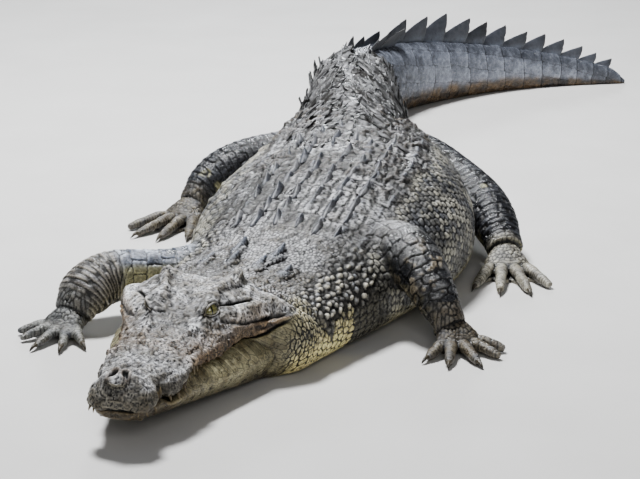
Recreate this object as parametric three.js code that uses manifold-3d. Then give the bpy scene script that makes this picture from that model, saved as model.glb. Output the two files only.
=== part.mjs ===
// Saltwater crocodile at rest, life size, in one still pose.
// Millimetres, +Z up.  The snout points towards -Y, the animal's left side is +X,
// and the tail runs towards +Y and curls towards +X.
// The soft body is one set of lofts parted by thin cuts: head, lower jaw, neck, trunk,
// three lengths of tail, and three lengths of each leg.  Teeth are joined to the jaws,
// neck spikes to the neck, back keels to the trunk and crest flaps to the tail.
import * as THREE from 'three';
import Module from 'manifold-3d';

// ---------------------------------------------------------------- driving sizes
const HEAD_LENGTH = 600;           // snout tip to rear edge of the skull table
const HEAD_WIDTH_SCALE = 1.08;     // a broad-headed old animal
const HEAD_YAW = 0.9;              // degrees, snout towards -X
const HEAD_PITCH = 6.6;            // degrees, snout raised
const HEAD_HINGE = [9, 600];       // where the rear of the skull table sits on the ground plan
const HEAD_REAR = 1.03;            // rear cut of the head, in head lengths
const HEAD_SLICES = 17;
const HEAD_HALF_POINTS = 7;
const CUT = 0.15;                  // half of the thin cut between neighbouring lengths
const GAP = 0.35;                  // clearance round a piece that is cut by its neighbour
const MOUTH_GAP = 1.2;             // between upper and lower jaw
const LEG_GAP = 5;                 // between a leg and the faceted body

const SCUTE_LENGTH = 66;           // one transverse row of back armour
const KEEL_HEIGHT = 13;            // longitudinal keels on the back
const WHORL_LENGTH = 90;           // one ring of tail scales
const CREST_DOUBLE_TO = 3180;      // where the two tail crests merge into one
const NECK_POINTS = 18, TRUNK_POINTS = 20, TAIL_POINTS = 14;   // vertices round each length

const NECK_FROM = 560, NECK_TO = 960;
const TRUNK_TO = 2080;
const TAIL_CUTS = [2080, 2760, 3460, 4448];

// spine on the ground plan, from the snout to the tip of the tail
const SPINE = [[0, 0], [12, 300], [30, 600], [76, 800], [110, 950], [130, 1130], [142, 1380],
  [108, 1650], [45, 1900], [-25, 2200], [-85, 2450], [-155, 2730], [-218, 3020], [-208, 3250],
  [-98, 3490], [80, 3720], [340, 3915], [640, 4035]];

// body stations: distance along the spine, half width, height of the back, height of the
// widest line, fullness above it, fullness below it
const BODY = [
  [560, 212, 185, 85, 2.2, 3.2],
  [640, 256, 195, 85, 2.1, 3.4],
  [740, 260, 205, 88, 2.1, 3.4],
  [860, 268, 230, 92, 2.0, 3.4],
  [1000, 296, 270, 102, 2.0, 3.4],
  [1130, 329, 305, 115, 2.0, 3.4],
  [1270, 359, 335, 125, 2.0, 3.4],
  [1410, 366, 352, 130, 2.0, 3.4],
  [1560, 345, 358, 135, 2.05, 3.2],
  [1720, 305, 355, 140, 2.1, 3.2],
  [1900, 258, 342, 140, 2.2, 3.0],
  [2080, 218, 325, 140, 2.3, 2.8],
  [2280, 186, 312, 140, 2.4, 2.6],
  [2500, 168, 302, 135, 2.5, 2.5],
  [2800, 152, 290, 130, 2.7, 2.4],
  [3080, 128, 272, 125, 2.8, 2.4],
  [3340, 98, 250, 118, 2.8, 2.3],
  [3600, 70, 222, 108, 2.6, 2.2],
  [3860, 50, 182, 88, 2.4, 2.1],
  [4120, 34, 132, 62, 2.2, 2.0],
  [4310, 21, 86, 40, 2.0, 2.0],
  [4448, 10, 50, 24, 2.0, 2.0],
];

// crest flaps: distance along the spine, height
const CREST = [[2110, 12], [2500, 20], [2800, 32], [3000, 48], [3180, 78], [3400, 94], [3600, 100], [3800, 84],
  [4000, 64], [4200, 46], [4330, 30], [4448, 16]];

// head lines, in head lengths, from the snout tip backwards.
// upper: t, mid height, ridge (out, up), cheek (out, up), lip (out, up)
const UPPER = [
  [0.000, .085, .020, .085, .034, .072, .030, .052],
  [0.015, .130, .048, .126, .074, .098, .070, .044],
  [0.050, .172, .050, .172, .108, .108, .102, .048],
  [0.090, .168, .062, .158, .116, .108, .110, .056],
  [0.150, .152, .064, .146, .098, .116, .088, .080],
  [0.180, .154, .068, .148, .098, .118, .086, .086],
  [0.214, .160, .076, .152, .120, .116, .112, .064],
  [0.260, .172, .086, .162, .144, .124, .136, .070],
  [0.320, .188, .092, .178, .154, .140, .146, .096],
  [0.350, .196, .093, .186, .154, .152, .147, .120],
  [0.385, .204, .094, .195, .154, .168, .147, .142],
  [0.450, .214, .094, .207, .157, .168, .148, .138],
  [0.550, .228, .094, .230, .172, .174, .160, .134],
  [0.630, .248, .096, .262, .194, .186, .180, .142],
  [0.700, .286, .098, .320, .216, .206, .198, .162],
  [0.760, .304, .106, .350, .235, .222, .214, .173],
  [0.820, .328, .116, .354, .258, .236, .236, .176],
  [0.900, .352, .128, .367, .286, .250, .262, .178],
  [0.970, .366, .136, .384, .308, .250, .285, .178],
  [1.030, .348, .134, .360, .312, .240, .286, .170],
];
// lower: t, lip (out, up), side (out, up), keel (out, up), throat height
const LOWER = [
  [0.020, .058, .046, .056, .030, .030, .014, .012],
  [0.050, .090, .046, .084, .028, .050, .008, .006],
  [0.090, .098, .054, .096, .028, .056, .004, .002],
  [0.150, .094, .078, .106, .036, .070, .000, .000],
  [0.180, .094, .084, .116, .038, .078, .000, .000],
  [0.214, .104, .062, .128, .038, .088, .000, .000],
  [0.260, .124, .068, .144, .040, .100, .000, .000],
  [0.320, .134, .094, .158, .046, .116, .000, .000],
  [0.350, .136, .118, .166, .050, .124, .000, .000],
  [0.385, .137, .140, .174, .054, .132, .000, .000],
  [0.450, .140, .136, .194, .060, .150, .000, .000],
  [0.550, .152, .132, .224, .068, .174, .000, .000],
  [0.630, .170, .140, .248, .074, .196, .000, .000],
  [0.700, .188, .160, .270, .080, .214, .000, .000],
  [0.760, .204, .171, .288, .086, .230, .000, .000],
  [0.820, .226, .174, .304, .092, .244, .000, .000],
  [0.900, .250, .176, .320, .100, .258, .000, .000],
  [0.970, .272, .176, .330, .104, .268, .000, .000],
  [1.030, .276, .168, .334, .104, .272, .000, .000],
];
// teeth: t, size.  Upper teeth hang from the upper lip, lower teeth stand on the lower lip.
const UPPER_TEETH = [[.040, 1.0], [.090, 1.1], [.225, 1.0], [.262, 1.3], [.305, .9], [.380, .8]];
const LOWER_TEETH = [[.145, 1.1], [.172, 1.5], [.470, .7]];
const TOOTH = 19;                   // crown length
// eye: distance back, out, up (head lengths), radius
const EYE = { t: .716, out: .102, up: .284, r: 23.5 };

// legs: joint points [x, y, z], then [sideways, upright] radii
const LEGS = {
  fore_left: {
    path: [[240, 1150, 128], [338, 1088, 168], [425, 1005, 182], [492, 935, 140], [560, 880, 55]],
    radii: [[92, 86], [90, 84], [76, 76], [58, 56], [40, 38]], split: [.5, 1],
    hand: { at: [562, 885], heading: 38, spread: [-58, -30, -3, 24, 48], len: [80, 112, 120, 108, 84], back: 34 },
  },
  fore_right: {
    path: [[-60, 1030, 110], [-210, 930, 108], [-335, 850, 112], [-366, 800, 90], [-384, 750, 48]],
    radii: [[84, 80], [66, 68], [64, 64], [70, 60], [50, 42]], split: [.5, 1],
    hand: { at: [-386, 745], heading: -16, spread: [52, 27, 3, -24, -50], len: [80, 108, 116, 104, 84], back: 32 },
  },
  hind_left: {
    path: [[110, 2040, 150], [244, 1955, 150], [392, 1820, 142], [504, 1688, 110], [570, 1566, 54]],
    radii: [[118, 122], [110, 110], [84, 86], [64, 66], [50, 44]], split: [.52, 1],
    hand: { at: [573, 1555], heading: 15, spread: [-22, -6, 10, 26], len: [150, 178, 182, 150], back: 44, web: true },
  },
  hind_right: {
    path: [[-60, 2050, 140], [-190, 2020, 138], [-312, 1935, 134], [-380, 1865, 98], [-412, 1805, 50]],
    radii: [[112, 118], [92, 96], [70, 76], [58, 60], [44, 42]], split: [.52, 1],
    hand: { at: [-412, 1795], heading: -14, spread: [24, 6, -10, -26], len: [146, 176, 182, 150], back: 42, web: true },
  },
};

// ---------------------------------------------------------------- numbers
const rad = (d) => d * Math.PI / 180;
const mix = (a, b, t) => a + (b - a) * t;
const sgnpow = (v, p) => Math.sign(v) * Math.abs(v) ** p;

// monotone cubic through (xs, ys)
function monotone(xs, ys) {
  const n = xs.length, h = [], d = [], m = new Array(n).fill(0);
  for (let i = 0; i < n - 1; i++) { h.push(xs[i + 1] - xs[i]); d.push((ys[i + 1] - ys[i]) / h[i]); }
  for (let i = 1; i < n - 1; i++) {
    if (d[i - 1] * d[i] > 0) {
      const w1 = 2 * h[i] + h[i - 1], w2 = h[i] + 2 * h[i - 1];
      m[i] = (w1 + w2) / (w1 / d[i - 1] + w2 / d[i]);
    }
  }
  m[0] = d[0]; m[n - 1] = d[n - 2];
  return (x) => {
    if (x <= xs[0]) return ys[0];
    if (x >= xs[n - 1]) return ys[n - 1];
    let i = 0;
    while (x > xs[i + 1]) i++;
    const t = (x - xs[i]) / h[i], t2 = t * t, t3 = t2 * t;
    return (2 * t3 - 3 * t2 + 1) * ys[i] + (t3 - 2 * t2 + t) * h[i] * m[i]
      + (-2 * t3 + 3 * t2) * ys[i + 1] + (t3 - t2) * h[i] * m[i + 1];
  };
}
const columns = (table) => table[0].slice(1).map((_, k) => monotone(table.map((r) => r[0]), table.map((r) => r[k + 1])));

// natural cubic spline through points, by chord length, resampled by arc length
function splinePath(points, samples = 800) {
  const n = points.length, dim = points[0].length;
  const u = [0];
  for (let i = 1; i < n; i++) u.push(u[i - 1] + Math.hypot(...points[i].map((c, k) => c - points[i - 1][k])));
  const second = [];
  for (let k = 0; k < dim; k++) {
    const a = new Array(n).fill(0), b = new Array(n).fill(1), c = new Array(n).fill(0), r = new Array(n).fill(0);
    for (let i = 1; i < n - 1; i++) {
      const h0 = u[i] - u[i - 1], h1 = u[i + 1] - u[i];
      a[i] = h0; b[i] = 2 * (h0 + h1); c[i] = h1;
      r[i] = 6 * ((points[i + 1][k] - points[i][k]) / h1 - (points[i][k] - points[i - 1][k]) / h0);
    }
    for (let i = 1; i < n; i++) { const w = a[i] / b[i - 1]; b[i] -= w * c[i - 1]; r[i] -= w * r[i - 1]; }
    const m = new Array(n).fill(0);
    m[n - 1] = r[n - 1] / b[n - 1];
    for (let i = n - 2; i >= 0; i--) m[i] = (r[i] - c[i] * m[i + 1]) / b[i];
    second.push(m);
  }
  const at = (x) => {
    let i = 0;
    while (i < n - 2 && x > u[i + 1]) i++;
    const h = u[i + 1] - u[i], A = (u[i + 1] - x) / h, B = (x - u[i]) / h;
    return points[i].map((_, k) => A * points[i][k] + B * points[i + 1][k]
      + ((A ** 3 - A) * second[k][i] + (B ** 3 - B) * second[k][i + 1]) * h * h / 6);
  };
  const line = [], length = [0];
  for (let i = 0; i <= samples; i++) {
    line.push(at(u[n - 1] * i / samples));
    if (i) length.push(length[i - 1] + Math.hypot(...line[i].map((c, k) => c - line[i - 1][k])));
  }
  const total = length[samples];
  const point = (s) => {
    const x = Math.min(Math.max(s, 0), total);
    let lo = 0, hi = samples;
    while (hi - lo > 1) { const mid = (lo + hi) >> 1; if (length[mid] <= x) lo = mid; else hi = mid; }
    const t = (s - length[lo]) / (length[hi] - length[lo]);
    return line[lo].map((c, k) => mix(c, line[hi][k], t));
  };
  const tangent = (s) => {
    const a = point(s - 12), b = point(s + 12), d = a.map((c, k) => b[k] - c), l = Math.hypot(...d);
    return d.map((c) => c / l);
  };
  return { total, point, tangent };
}

// ---------------------------------------------------------------- meshes
// rings of [x, y, z] with the same count, joined and closed by a fan at each end
function loft(rings) {
  const n = rings[0].length, pos = [], idx = [];
  for (const ring of rings) for (const p of ring) pos.push(...p);
  for (let i = 0; i < rings.length - 1; i++) {
    for (let j = 0; j < n; j++) {
      const a = i * n + j, b = i * n + (j + 1) % n, c = a + n, d = b + n;
      idx.push(a, b, d, a, d, c);
    }
  }
  for (const [i, flip] of [[0, true], [rings.length - 1, false]]) {
    const mid = rings[i].reduce((s, p) => s.map((c, k) => c + p[k] / n), [0, 0, 0]);
    const m = pos.length / 3;
    pos.push(...mid);
    for (let j = 0; j < n; j++) {
      const a = i * n + j, b = i * n + (j + 1) % n;
      if (flip) idx.push(m, b, a); else idx.push(m, a, b);
    }
  }
  return outward(pos, idx);
}
// turns the faces out when the signed volume is negative
function outward(pos, idx) {
  let volume = 0;
  const v = (i) => [pos[3 * i], pos[3 * i + 1], pos[3 * i + 2]];
  for (let t = 0; t < idx.length; t += 3) {
    const [a, b, c] = [v(idx[t]), v(idx[t + 1]), v(idx[t + 2])];
    volume += a[0] * (b[1] * c[2] - b[2] * c[1]) - a[1] * (b[0] * c[2] - b[2] * c[0]) + a[2] * (b[0] * c[1] - b[1] * c[0]);
  }
  if (volume < 0) for (let t = 0; t < idx.length; t += 3) [idx[t + 1], idx[t + 2]] = [idx[t + 2], idx[t + 1]];
  const g = new THREE.BufferGeometry();
  g.setAttribute('position', new THREE.Float32BufferAttribute(pos, 3));
  g.setIndex(idx);
  return g;
}
const wasm = await Module();
wasm.setup();
function solid(g) {
  const index = g.getIndex();
  return new wasm.Manifold(new wasm.Mesh({
    numProp: 3,
    vertProperties: new Float32Array(g.getAttribute('position').array),
    triVerts: new Uint32Array(index.array),
  }));
}
function geometryOf(manifold) {
  const mesh = manifold.getMesh(), p = [], n = mesh.numProp;
  for (let i = 0; i < mesh.vertProperties.length / n; i++) p.push(mesh.vertProperties[i * n], mesh.vertProperties[i * n + 1], mesh.vertProperties[i * n + 2]);
  const g = new THREE.BufferGeometry();
  g.setAttribute('position', new THREE.Float32BufferAttribute(p, 3));
  g.setIndex([...mesh.triVerts]);
  return g;
}
const join = (list) => list.reduce((a, b) => a.add(b));
function largest(m) {
  return m.decompose().sort((a, b) => b.volume() - a.volume())[0];
}
// closes any pocket that is shut in on all sides
function filled(m) {
  const { min, max } = m.boundingBox(), e = 5;
  const ring = (z) => [[min[0] - e, min[1] - e, z], [max[0] + e, min[1] - e, z], [max[0] + e, max[1] + e, z], [min[0] - e, max[1] + e, z]];
  const around = solid(loft([ring(min[2] - e), ring(max[2] + e)])).subtract(m).decompose().sort((a, b) => b.volume() - a.volume());
  return around.slice(1).reduce((a, b) => a.add(b), m);
}

// tube along a path of [x, y, z] with [sideways, upright] radii; nothing goes below the floor
function tube(path, radii, from, to, steps, round) {
  const line = splinePath(path, 200);
  const u = [0];
  for (let i = 1; i < path.length; i++) u.push(u[i - 1] + Math.hypot(...path[i].map((c, k) => c - path[i - 1][k])));
  const side = monotone(u.map((x) => x / u[u.length - 1]), radii.map((r) => r[0]));
  const up = monotone(u.map((x) => x / u[u.length - 1]), radii.map((r) => r[1]));
  const rings = [];
  for (let i = 0; i <= steps; i++) {
    const f = mix(from, to, i / steps), p = line.point(f * line.total), t = line.tangent(Math.min(Math.max(f * line.total, 13), line.total - 13));
    const T = new THREE.Vector3(...t), S = new THREE.Vector3(0, 0, 1).cross(T).normalize(), U = T.clone().cross(S);
    const ring = [];
    for (let j = 0; j < round; j++) {
      const a = 2 * Math.PI * j / round;
      const q = new THREE.Vector3(...p).addScaledVector(S, side(f) * Math.cos(a)).addScaledVector(U, up(f) * Math.sin(a));
      ring.push([q.x, q.y, Math.max(q.z, 0)]);
    }
    rings.push(ring);
  }
  return { rings, line };
}

// ---------------------------------------------------------------- body
const spine = splinePath(SPINE);
const station = columns(BODY);
// one cross-section of the body; keel = 0..1 raises the back keels
const KEEL_ROWS = [.12, .36, .60];          // keels as a share of the half width
function section(s, points, keel = 0) {
  const [w, top, wide, above, below] = station.map((f) => f(s));
  const p = spine.point(s), t = spine.tangent(s), out = [t[1], -t[0]];
  const ring = [];
  for (let j = 0; j < points; j++) {
    const a = 2 * Math.PI * j / points, c = Math.cos(a), n = Math.sin(a);
    const e = c > 0 ? 2 / above : 2 / below;
    const x = w * sgnpow(n, e);
    let z = c > 0 ? wide + (top - wide) * Math.abs(c) ** e : wide - (wide + 14) * Math.abs(c) ** e;
    if (keel && c > .35 && j % 2 === 1) z += KEEL_HEIGHT * keel;
    ring.push([p[0] + out[0] * x, p[1] + out[1] * x, Math.max(z, 0)]);
  }
  return ring;
}
function length(from, to, step, points, scutes = false) {
  const rings = [section(from + CUT, points)];
  if (scutes) {
    const rows = Math.round((to - from) / SCUTE_LENGTH), pitch = (to - from) / rows;
    for (let i = 0; i < rows; i++) {
      if (i) rings.push(section(from + i * pitch, points, .15));
      rings.push(section(from + (i + .88) * pitch, points, i === rows - 1 ? .4 : 1));
    }
  } else {
    const n = Math.round((to - from) / step);
    for (let i = 1; i < n; i++) rings.push(section(mix(from, to, i / n), points));
  }
  rings.push(section(to - CUT, points));
  return loft(rings);
}
// place on the body: distance along the spine, out to the left, height
function onBody(s, out, z) {
  const p = spine.point(s), t = spine.tangent(s);
  return [p[0] + t[1] * out, p[1] - t[0] * out, z];
}
// a swept-back flap: thin blade with its root sunk in the body
function flap(s, out, root, height, len, thick, lean = 0) {
  const ring = (z, s0, s1, w, o) => [onBody(s0, o, z), onBody(mix(s0, s1, .5), o - w, z), onBody(s1, o, z), onBody(mix(s0, s1, .5), o + w, z)];
  return loft([
    ring(root - 16, s, s + len, thick, out),
    ring(root + height, s + len * .84, s + len * 1.2, thick * .22, out + lean),
  ]);
}

// ---------------------------------------------------------------- head
const upperLines = columns(UPPER), lowerLines = columns(LOWER);
function headPoint(t, out, up) {
  const ahead = (1 - t) * HEAD_LENGTH, side = out * HEAD_LENGTH * HEAD_WIDTH_SCALE, high = up * HEAD_LENGTH;
  const c = Math.cos(rad(HEAD_PITCH)), s = Math.sin(rad(HEAD_PITCH));
  const f = ahead * c - high * s, z = high * c + ahead * s;
  const fx = -Math.sin(rad(HEAD_YAW)), fy = -Math.cos(rad(HEAD_YAW));
  return [HEAD_HINGE[0] + f * fx - side * fy, HEAD_HINGE[1] + f * fy + side * fx, Math.max(z, 0)];
}
// smooth half outline through named corners, resampled evenly
function halfOutline(corners, count) {
  const curve = new THREE.CatmullRomCurve3(corners.map(([x, y]) => new THREE.Vector3(x, y, 0)), false, 'centripetal');
  return curve.getSpacedPoints(count - 1).map((p) => [Math.max(p.x, 0), p.y]);
}
function upperRing(t) {
  const [mid, rx, ry, cx, cy, lx, ly] = upperLines.map((f) => f(t));
  const half = halfOutline([[0, mid], [rx * .55, mix(mid, ry, .25)], [rx, ry], [mix(rx, cx, .5), mix(ry, cy, .42)], [cx, cy], [lx, ly]], HEAD_HALF_POINTS);
  const floor = ly + MOUTH_GAP / 2 / HEAD_LENGTH;
  half[half.length - 1][1] = floor;
  const right = half.slice(1).reverse().map(([x, y]) => [-x, y]);
  const roof = [-.5, 0, .5].map((k) => [k * lx, floor]);
  return [...half, ...roof.reverse(), ...right].map(([x, y]) => headPoint(t, x, y));
}
function lowerRing(t) {
  const [lx, ly, sx, sy, kx, ky, th] = lowerLines.map((f) => f(t));
  const top = ly - MOUTH_GAP / 2 / HEAD_LENGTH;
  const half = halfOutline([[lx, top], [mix(lx, sx, .7), mix(top, sy, .45)], [sx, sy], [mix(sx, kx, .6), mix(sy, ky, .8)], [kx, ky], [0, th]], HEAD_HALF_POINTS);
  const right = half.slice(0, -1).reverse().map(([x, y]) => [-x, y]);
  const bed = [-.5, 0, .5].map((k) => [k * lx, top]);
  return [...half, ...right, ...bed].map(([x, y]) => headPoint(t, x, y));
}
// both jaws are cut at the same places, closer together towards the snout
const CUTS = Array.from({ length: HEAD_SLICES + 1 }, (_, i) => HEAD_REAR * mix((i / HEAD_SLICES) ** 1.6, i / HEAD_SLICES, .45));
// a tooth: four-sided cone from inside the jaw to its tip
function tooth(t, out, up, size, dir, grow = 0) {
  const r = 6.2 * Math.sqrt(size), l = TOOTH * size, rings = [];
  for (const [k, w] of [[-.45, 1.1], [1 + grow / l, .2]]) {
    const c = headPoint(t, out, up), ring = [];
    for (let j = 0; j < 4; j++) {
      const a = 2 * Math.PI * j / 4;
      ring.push([c[0] + (r * w + grow) * Math.cos(a), c[1] + (r * w + grow) * Math.sin(a), Math.max(c[2] + dir * l * k, 0)]);
    }
    rings.push(ring);
  }
  return solid(loft(rings));
}

// ---------------------------------------------------------------- feet
function digit(from, angle, len, r, arch) {
  const dx = Math.sin(rad(angle)), dy = -Math.cos(rad(angle));
  const at = (k, z) => [from[0] + dx * len * k, from[1] + dy * len * k, z];
  return {
    finger: tube([at(-.15, r * .95), at(.3, r + arch), at(.68, r * .85 + arch * .5), at(1, r * .62)],
      [[r, r], [r * .95, r * .92], [r * .8, r * .78], [r * .55, r * .5]], 0, 1, 3, 6).rings,
    tip: at(1, r * .55), dir: [dx, dy],
  };
}
function foot(hand) {
  const [x, y] = hand.at, h = hand.heading, dx = Math.sin(rad(h)), dy = -Math.cos(rad(h));
  const at = (k, z) => [x + dx * k, y + dy * k, z];
  const palm = hand.web ? 74 : 60, wide = hand.web ? 62 : 58;
  const pieces = [solid(loft(tube([at(-hand.back, 44), at(0, 42), at(palm * .6, 28), at(palm * 1.15, 15)],
    [[36, 36], [42, 36], [wide, 26], [wide * .86, 13]], 0, 1, 4, 10).rings))];
  const claws = [];
  hand.spread.forEach((a, i) => {
    const angle = h + a, k = (i / (hand.spread.length - 1) - .5) * 2;
    const turn = Math.sign(hand.spread[0]) * -1;
    const root = [at(palm * .62, 0)[0] + Math.cos(rad(h)) * k * wide * .62 * turn, at(palm * .62, 0)[1] + Math.sin(rad(h)) * k * wide * .62 * turn];
    const r = hand.web ? 17 : 16;
    const d = digit(root, angle, hand.len[i], r, 7);
    pieces.push(solid(loft(d.finger)));
    claws.push({ root, d, angle });
  });
  if (hand.web) {
    for (let i = 0; i < claws.length - 1; i++) {
      const A = claws[i], B = claws[i + 1];
      const pt = (c, k) => [mix(c.root[0], c.d.tip[0], k), mix(c.root[1], c.d.tip[1], k)];
      const outline = [pt(A, 0), pt(A, .62), pt(B, .62), pt(B, 0)];
      const middle = [(pt(A, .42)[0] + pt(B, .42)[0]) / 2, (pt(A, .42)[1] + pt(B, .42)[1]) / 2];
      outline.splice(2, 0, middle);
      pieces.push(solid(loft([outline.map(([a, b]) => [a, b, 0]), outline.map(([a, b]) => [a, b, 10])])));
    }
  }
  return { body: filled(join(pieces)), claws };
}
// claw: curved cone, its root just clear of the fingertip
function claw(d, len = 30) {
  const start = GAP + .3, at = (k, z) => [d.tip[0] + d.dir[0] * k, d.tip[1] + d.dir[1] * k, z];
  return loft(tube([at(start, 11), at(start + len * .35, 12), at(start + len * .72, 8), at(start + len, 2.2)],
    [[6.5, 7.5], [5.6, 6.6], [3.6, 4.4], [1, 1.2]], 0, 1, 2, 5).rings);
}

// ---------------------------------------------------------------- materials
const skin = (color, roughness = .62) => new THREE.MeshStandardMaterial({ color, roughness, metalness: 0 });
const group = new THREE.Group();
function add(name, g, material) {
  const mesh = new THREE.Mesh(g, material);
  mesh.name = name;
  group.add(mesh);
  return g;
}

// ---------------------------------------------------------------- assembly
const EYE_SIDES = [['left', 1], ['right', -1]];
const upperLoft = solid(loft(CUTS.map(upperRing)));
const eyeCentre = (k) => headPoint(EYE.t, EYE.out * k, EYE.up);
function ball(c, r, wide, high) {
  const g = new THREE.SphereGeometry(r, wide, high);
  const pos = g.getAttribute('position'), rings = [];
  for (let i = 1; i < high; i++) {
    const ring = [];
    for (let j = 0; j < wide; j++) {
      const k = i * (wide + 1) + j;
      ring.push([pos.getX(k) + c[0], pos.getZ(k) + c[1], pos.getY(k) + c[2]]);
    }
    rings.push(ring);
  }
  return loft(rings);
}
let upper = upperLoft;
for (const [t, size] of UPPER_TEETH) {
  const [, , , , , lx, ly] = upperLines.map((f) => f(t));
  for (const k of [1, -1]) upper = upper.add(tooth(t, k * (lx - .004), ly, size, -1));
}
for (const [, k] of EYE_SIDES) upper = upper.subtract(solid(ball(eyeCentre(k), EYE.r + GAP, 9, 7)));
let lower = solid(loft(CUTS.slice(1).map(lowerRing)));
for (const [t, size] of LOWER_TEETH) {
  const [lx, ly] = lowerLines.map((f) => f(t));
  for (const k of [1, -1]) lower = lower.add(tooth(t, k * (lx + .012), ly, size, 1));
}
// the teeth of one jaw sit in pockets of the other
for (const [t, size] of LOWER_TEETH) {
  const [lx, ly] = lowerLines.map((f) => f(t));
  for (const k of [1, -1]) upper = upper.subtract(tooth(t, k * (lx + .012), ly, size, 1, .8));
}
for (const [t, size] of UPPER_TEETH) {
  const [, , , , , lx, ly] = upperLines.map((f) => f(t));
  for (const k of [1, -1]) lower = lower.subtract(tooth(t, k * (lx - .004), ly, size, -1, .8));
}
add('head', geometryOf(upper), skin(0x8a867c));
add('lower_jaw', geometryOf(lower), skin(0x8f8a66));
for (const [side, k] of EYE_SIDES) add(`eye_${side}`, ball(eyeCentre(k), EYE.r, 9, 7), skin(0x7d7a34, .15));

// neck: its front is cut on the plane of the head's rear face
const headRear = headPoint(HEAD_REAR, 0, 0);
function halfSpaceInFront() {
  const c = Math.cos(rad(HEAD_PITCH)), s = Math.sin(rad(HEAD_PITCH));
  const fx = -Math.sin(rad(HEAD_YAW)), fy = -Math.cos(rad(HEAD_YAW));
  const F = [fx * c, fy * c, s], L = [-fy, fx, 0], U = [-s * fx, -s * fy, c];
  const base = [headRear[0], headRear[1], 0];
  const ring = (d) => [[-700, -500], [700, -500], [700, 700], [-700, 700]].map(([a, b]) =>
    base.map((v, k) => v + F[k] * d + L[k] * a + U[k] * b));
  return solid(loft([ring(-2 * CUT), ring(900)]));
}
let neck = solid(length(NECK_FROM, NECK_TO, 58, NECK_POINTS));
neck = neck.subtract(halfSpaceInFront());
const NUCHAL = [[742, 38, 46], [742, -38, 46], [800, 52, 52], [800, -52, 52], [728, 98, 34], [728, -98, 34]];
for (const [s, out, h] of NUCHAL) {
  const [w, top, wide, above] = station.map((f) => f(s + 40));
  const z = wide + (top - wide) * (1 - Math.abs(out / w) ** above) ** (1 / above);
  neck = neck.add(solid(flap(s, out, z, h, 66, 13, Math.sign(out) * 6)));
}
add('neck', geometryOf(neck), skin(0x8d897d));
const trunk = length(NECK_TO, TRUNK_TO, 60, TRUNK_POINTS, true);
add('trunk', trunk, skin(0x7c7a74));

const crestHeight = monotone(CREST.map((r) => r[0]), CREST.map((r) => r[1]));
for (let i = 0; i < 3; i++) {
  let piece = solid(length(TAIL_CUTS[i], TAIL_CUTS[i + 1], 96, TAIL_POINTS));
  const name = ['tail_base', 'tail_middle', 'tail_end'][i];
  for (let s = 2110; s < 4390; s += WHORL_LENGTH) {
    if (s < TAIL_CUTS[i] + 4 || s + WHORL_LENGTH * .98 > TAIL_CUTS[i + 1] - 4) continue;
    const [w, top, wide, above] = station.map((f) => f(s + 40));
    const len = WHORL_LENGTH * .96;
    if (s < CREST_DOUBLE_TO) {
      const grow = (s - 2110) / (CREST_DOUBLE_TO - 2110), out = w * mix(.52, .26, grow), h = crestHeight(s);
      const z = wide + (top - wide) * (1 - (out / w) ** above) ** (1 / above);
      for (const k of [1, -1]) piece = piece.add(solid(flap(s, k * out, z, h, len, 8, k * 6)));
    } else {
      const f = (s - CREST_DOUBLE_TO) / (4390 - CREST_DOUBLE_TO);
      piece = piece.add(solid(flap(s, 0, top, crestHeight(s), len, mix(8, 4, f))));
    }
  }
  add(name, geometryOf(piece), skin(0x55565a, .4));
}

// legs: upper length cut by the trunk, then the middle length, then the foot, and claws
const NAMES = { fore: ['upper_arm', 'forearm', 'hand'], hind: ['thigh', 'shank', 'foot'] };
const bodyGrown = (() => {
  // trunk, neck and tail base, grown by the clearance
  const grow = (from, to) => {
    const rings = [], n = Math.round((to - from) / 40);
    for (let i = 0; i <= n; i++) {
      const s = mix(from, to, i / n), [w, top, wide] = station.map((f) => f(s));
      const p = spine.point(s), ring = section(s, TRUNK_POINTS, 1);
      const k = 1 + LEG_GAP / w;
      rings.push(ring.map(([x, y, z]) => [p[0] + (x - p[0]) * k, p[1] + (y - p[1]) * k, z > wide ? wide + (z - wide) * (1 + LEG_GAP / (top - wide)) : z < 1 ? -30 : z]));
    }
    return solid(loft(rings));
  };
  return grow(700, 2500);
})();
for (const [leg, spec] of Object.entries(LEGS)) {
  const [pair, side] = leg.split('_');
  const [n1, n2, n3] = NAMES[pair];
  const total = splinePath(spec.path, 200).total, g = CUT / total;
  let top = solid(loft(tube(spec.path, spec.radii, 0, spec.split[0] - g, 5, 12).rings)).subtract(bodyGrown);
  const low = solid(loft(tube(spec.path, spec.radii, spec.split[0] + g, 1, 5, 12).rings)).subtract(bodyGrown);
  const f = foot(spec.hand);
  add(`${n1}_${side}`, geometryOf(top), skin(0x5d6268, .4));
  // the lower length ends where the foot begins
  const lowCut = low.subtract(grown(spec.hand));
  add(`${n2}_${side}`, geometryOf(largest(lowCut)), skin(0x5d6268, .4));
  add(`${n3}_${side}`, geometryOf(f.body), skin(0x6a6b68, .45));
  const clawed = 3;
  f.claws.slice(0, clawed).forEach((c, i) => add(`claw_${pair}_${side}_${i + 1}`, claw(c.d, pair === 'fore' ? 28 : 32), skin(0x3a3732, .35)));
}
// the foot's palm, slightly larger, used to seat the leg on it
function grown(hand) {
  const [x, y] = hand.at, h = hand.heading, dx = Math.sin(rad(h)), dy = -Math.cos(rad(h)), e = 1.2;
  const at = (k, z) => [x + dx * k, y + dy * k, z];
  const palm = hand.web ? 74 : 60, wide = hand.web ? 62 : 58;
  return solid(loft(tube([at(-hand.back - 1.5, 44), at(0, 42), at(palm * .6, 28), at(palm * 1.15, 15)],
    [[36 + e, 36 + e], [42 + e, 36 + e], [wide + e, 26 + e], [wide * .86 + e, 13 + e]], 0, 1, 4, 10).rings.map((r) => r.map(([a, b, c]) => [a, b, c < .01 ? -20 : c]))));
}

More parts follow.
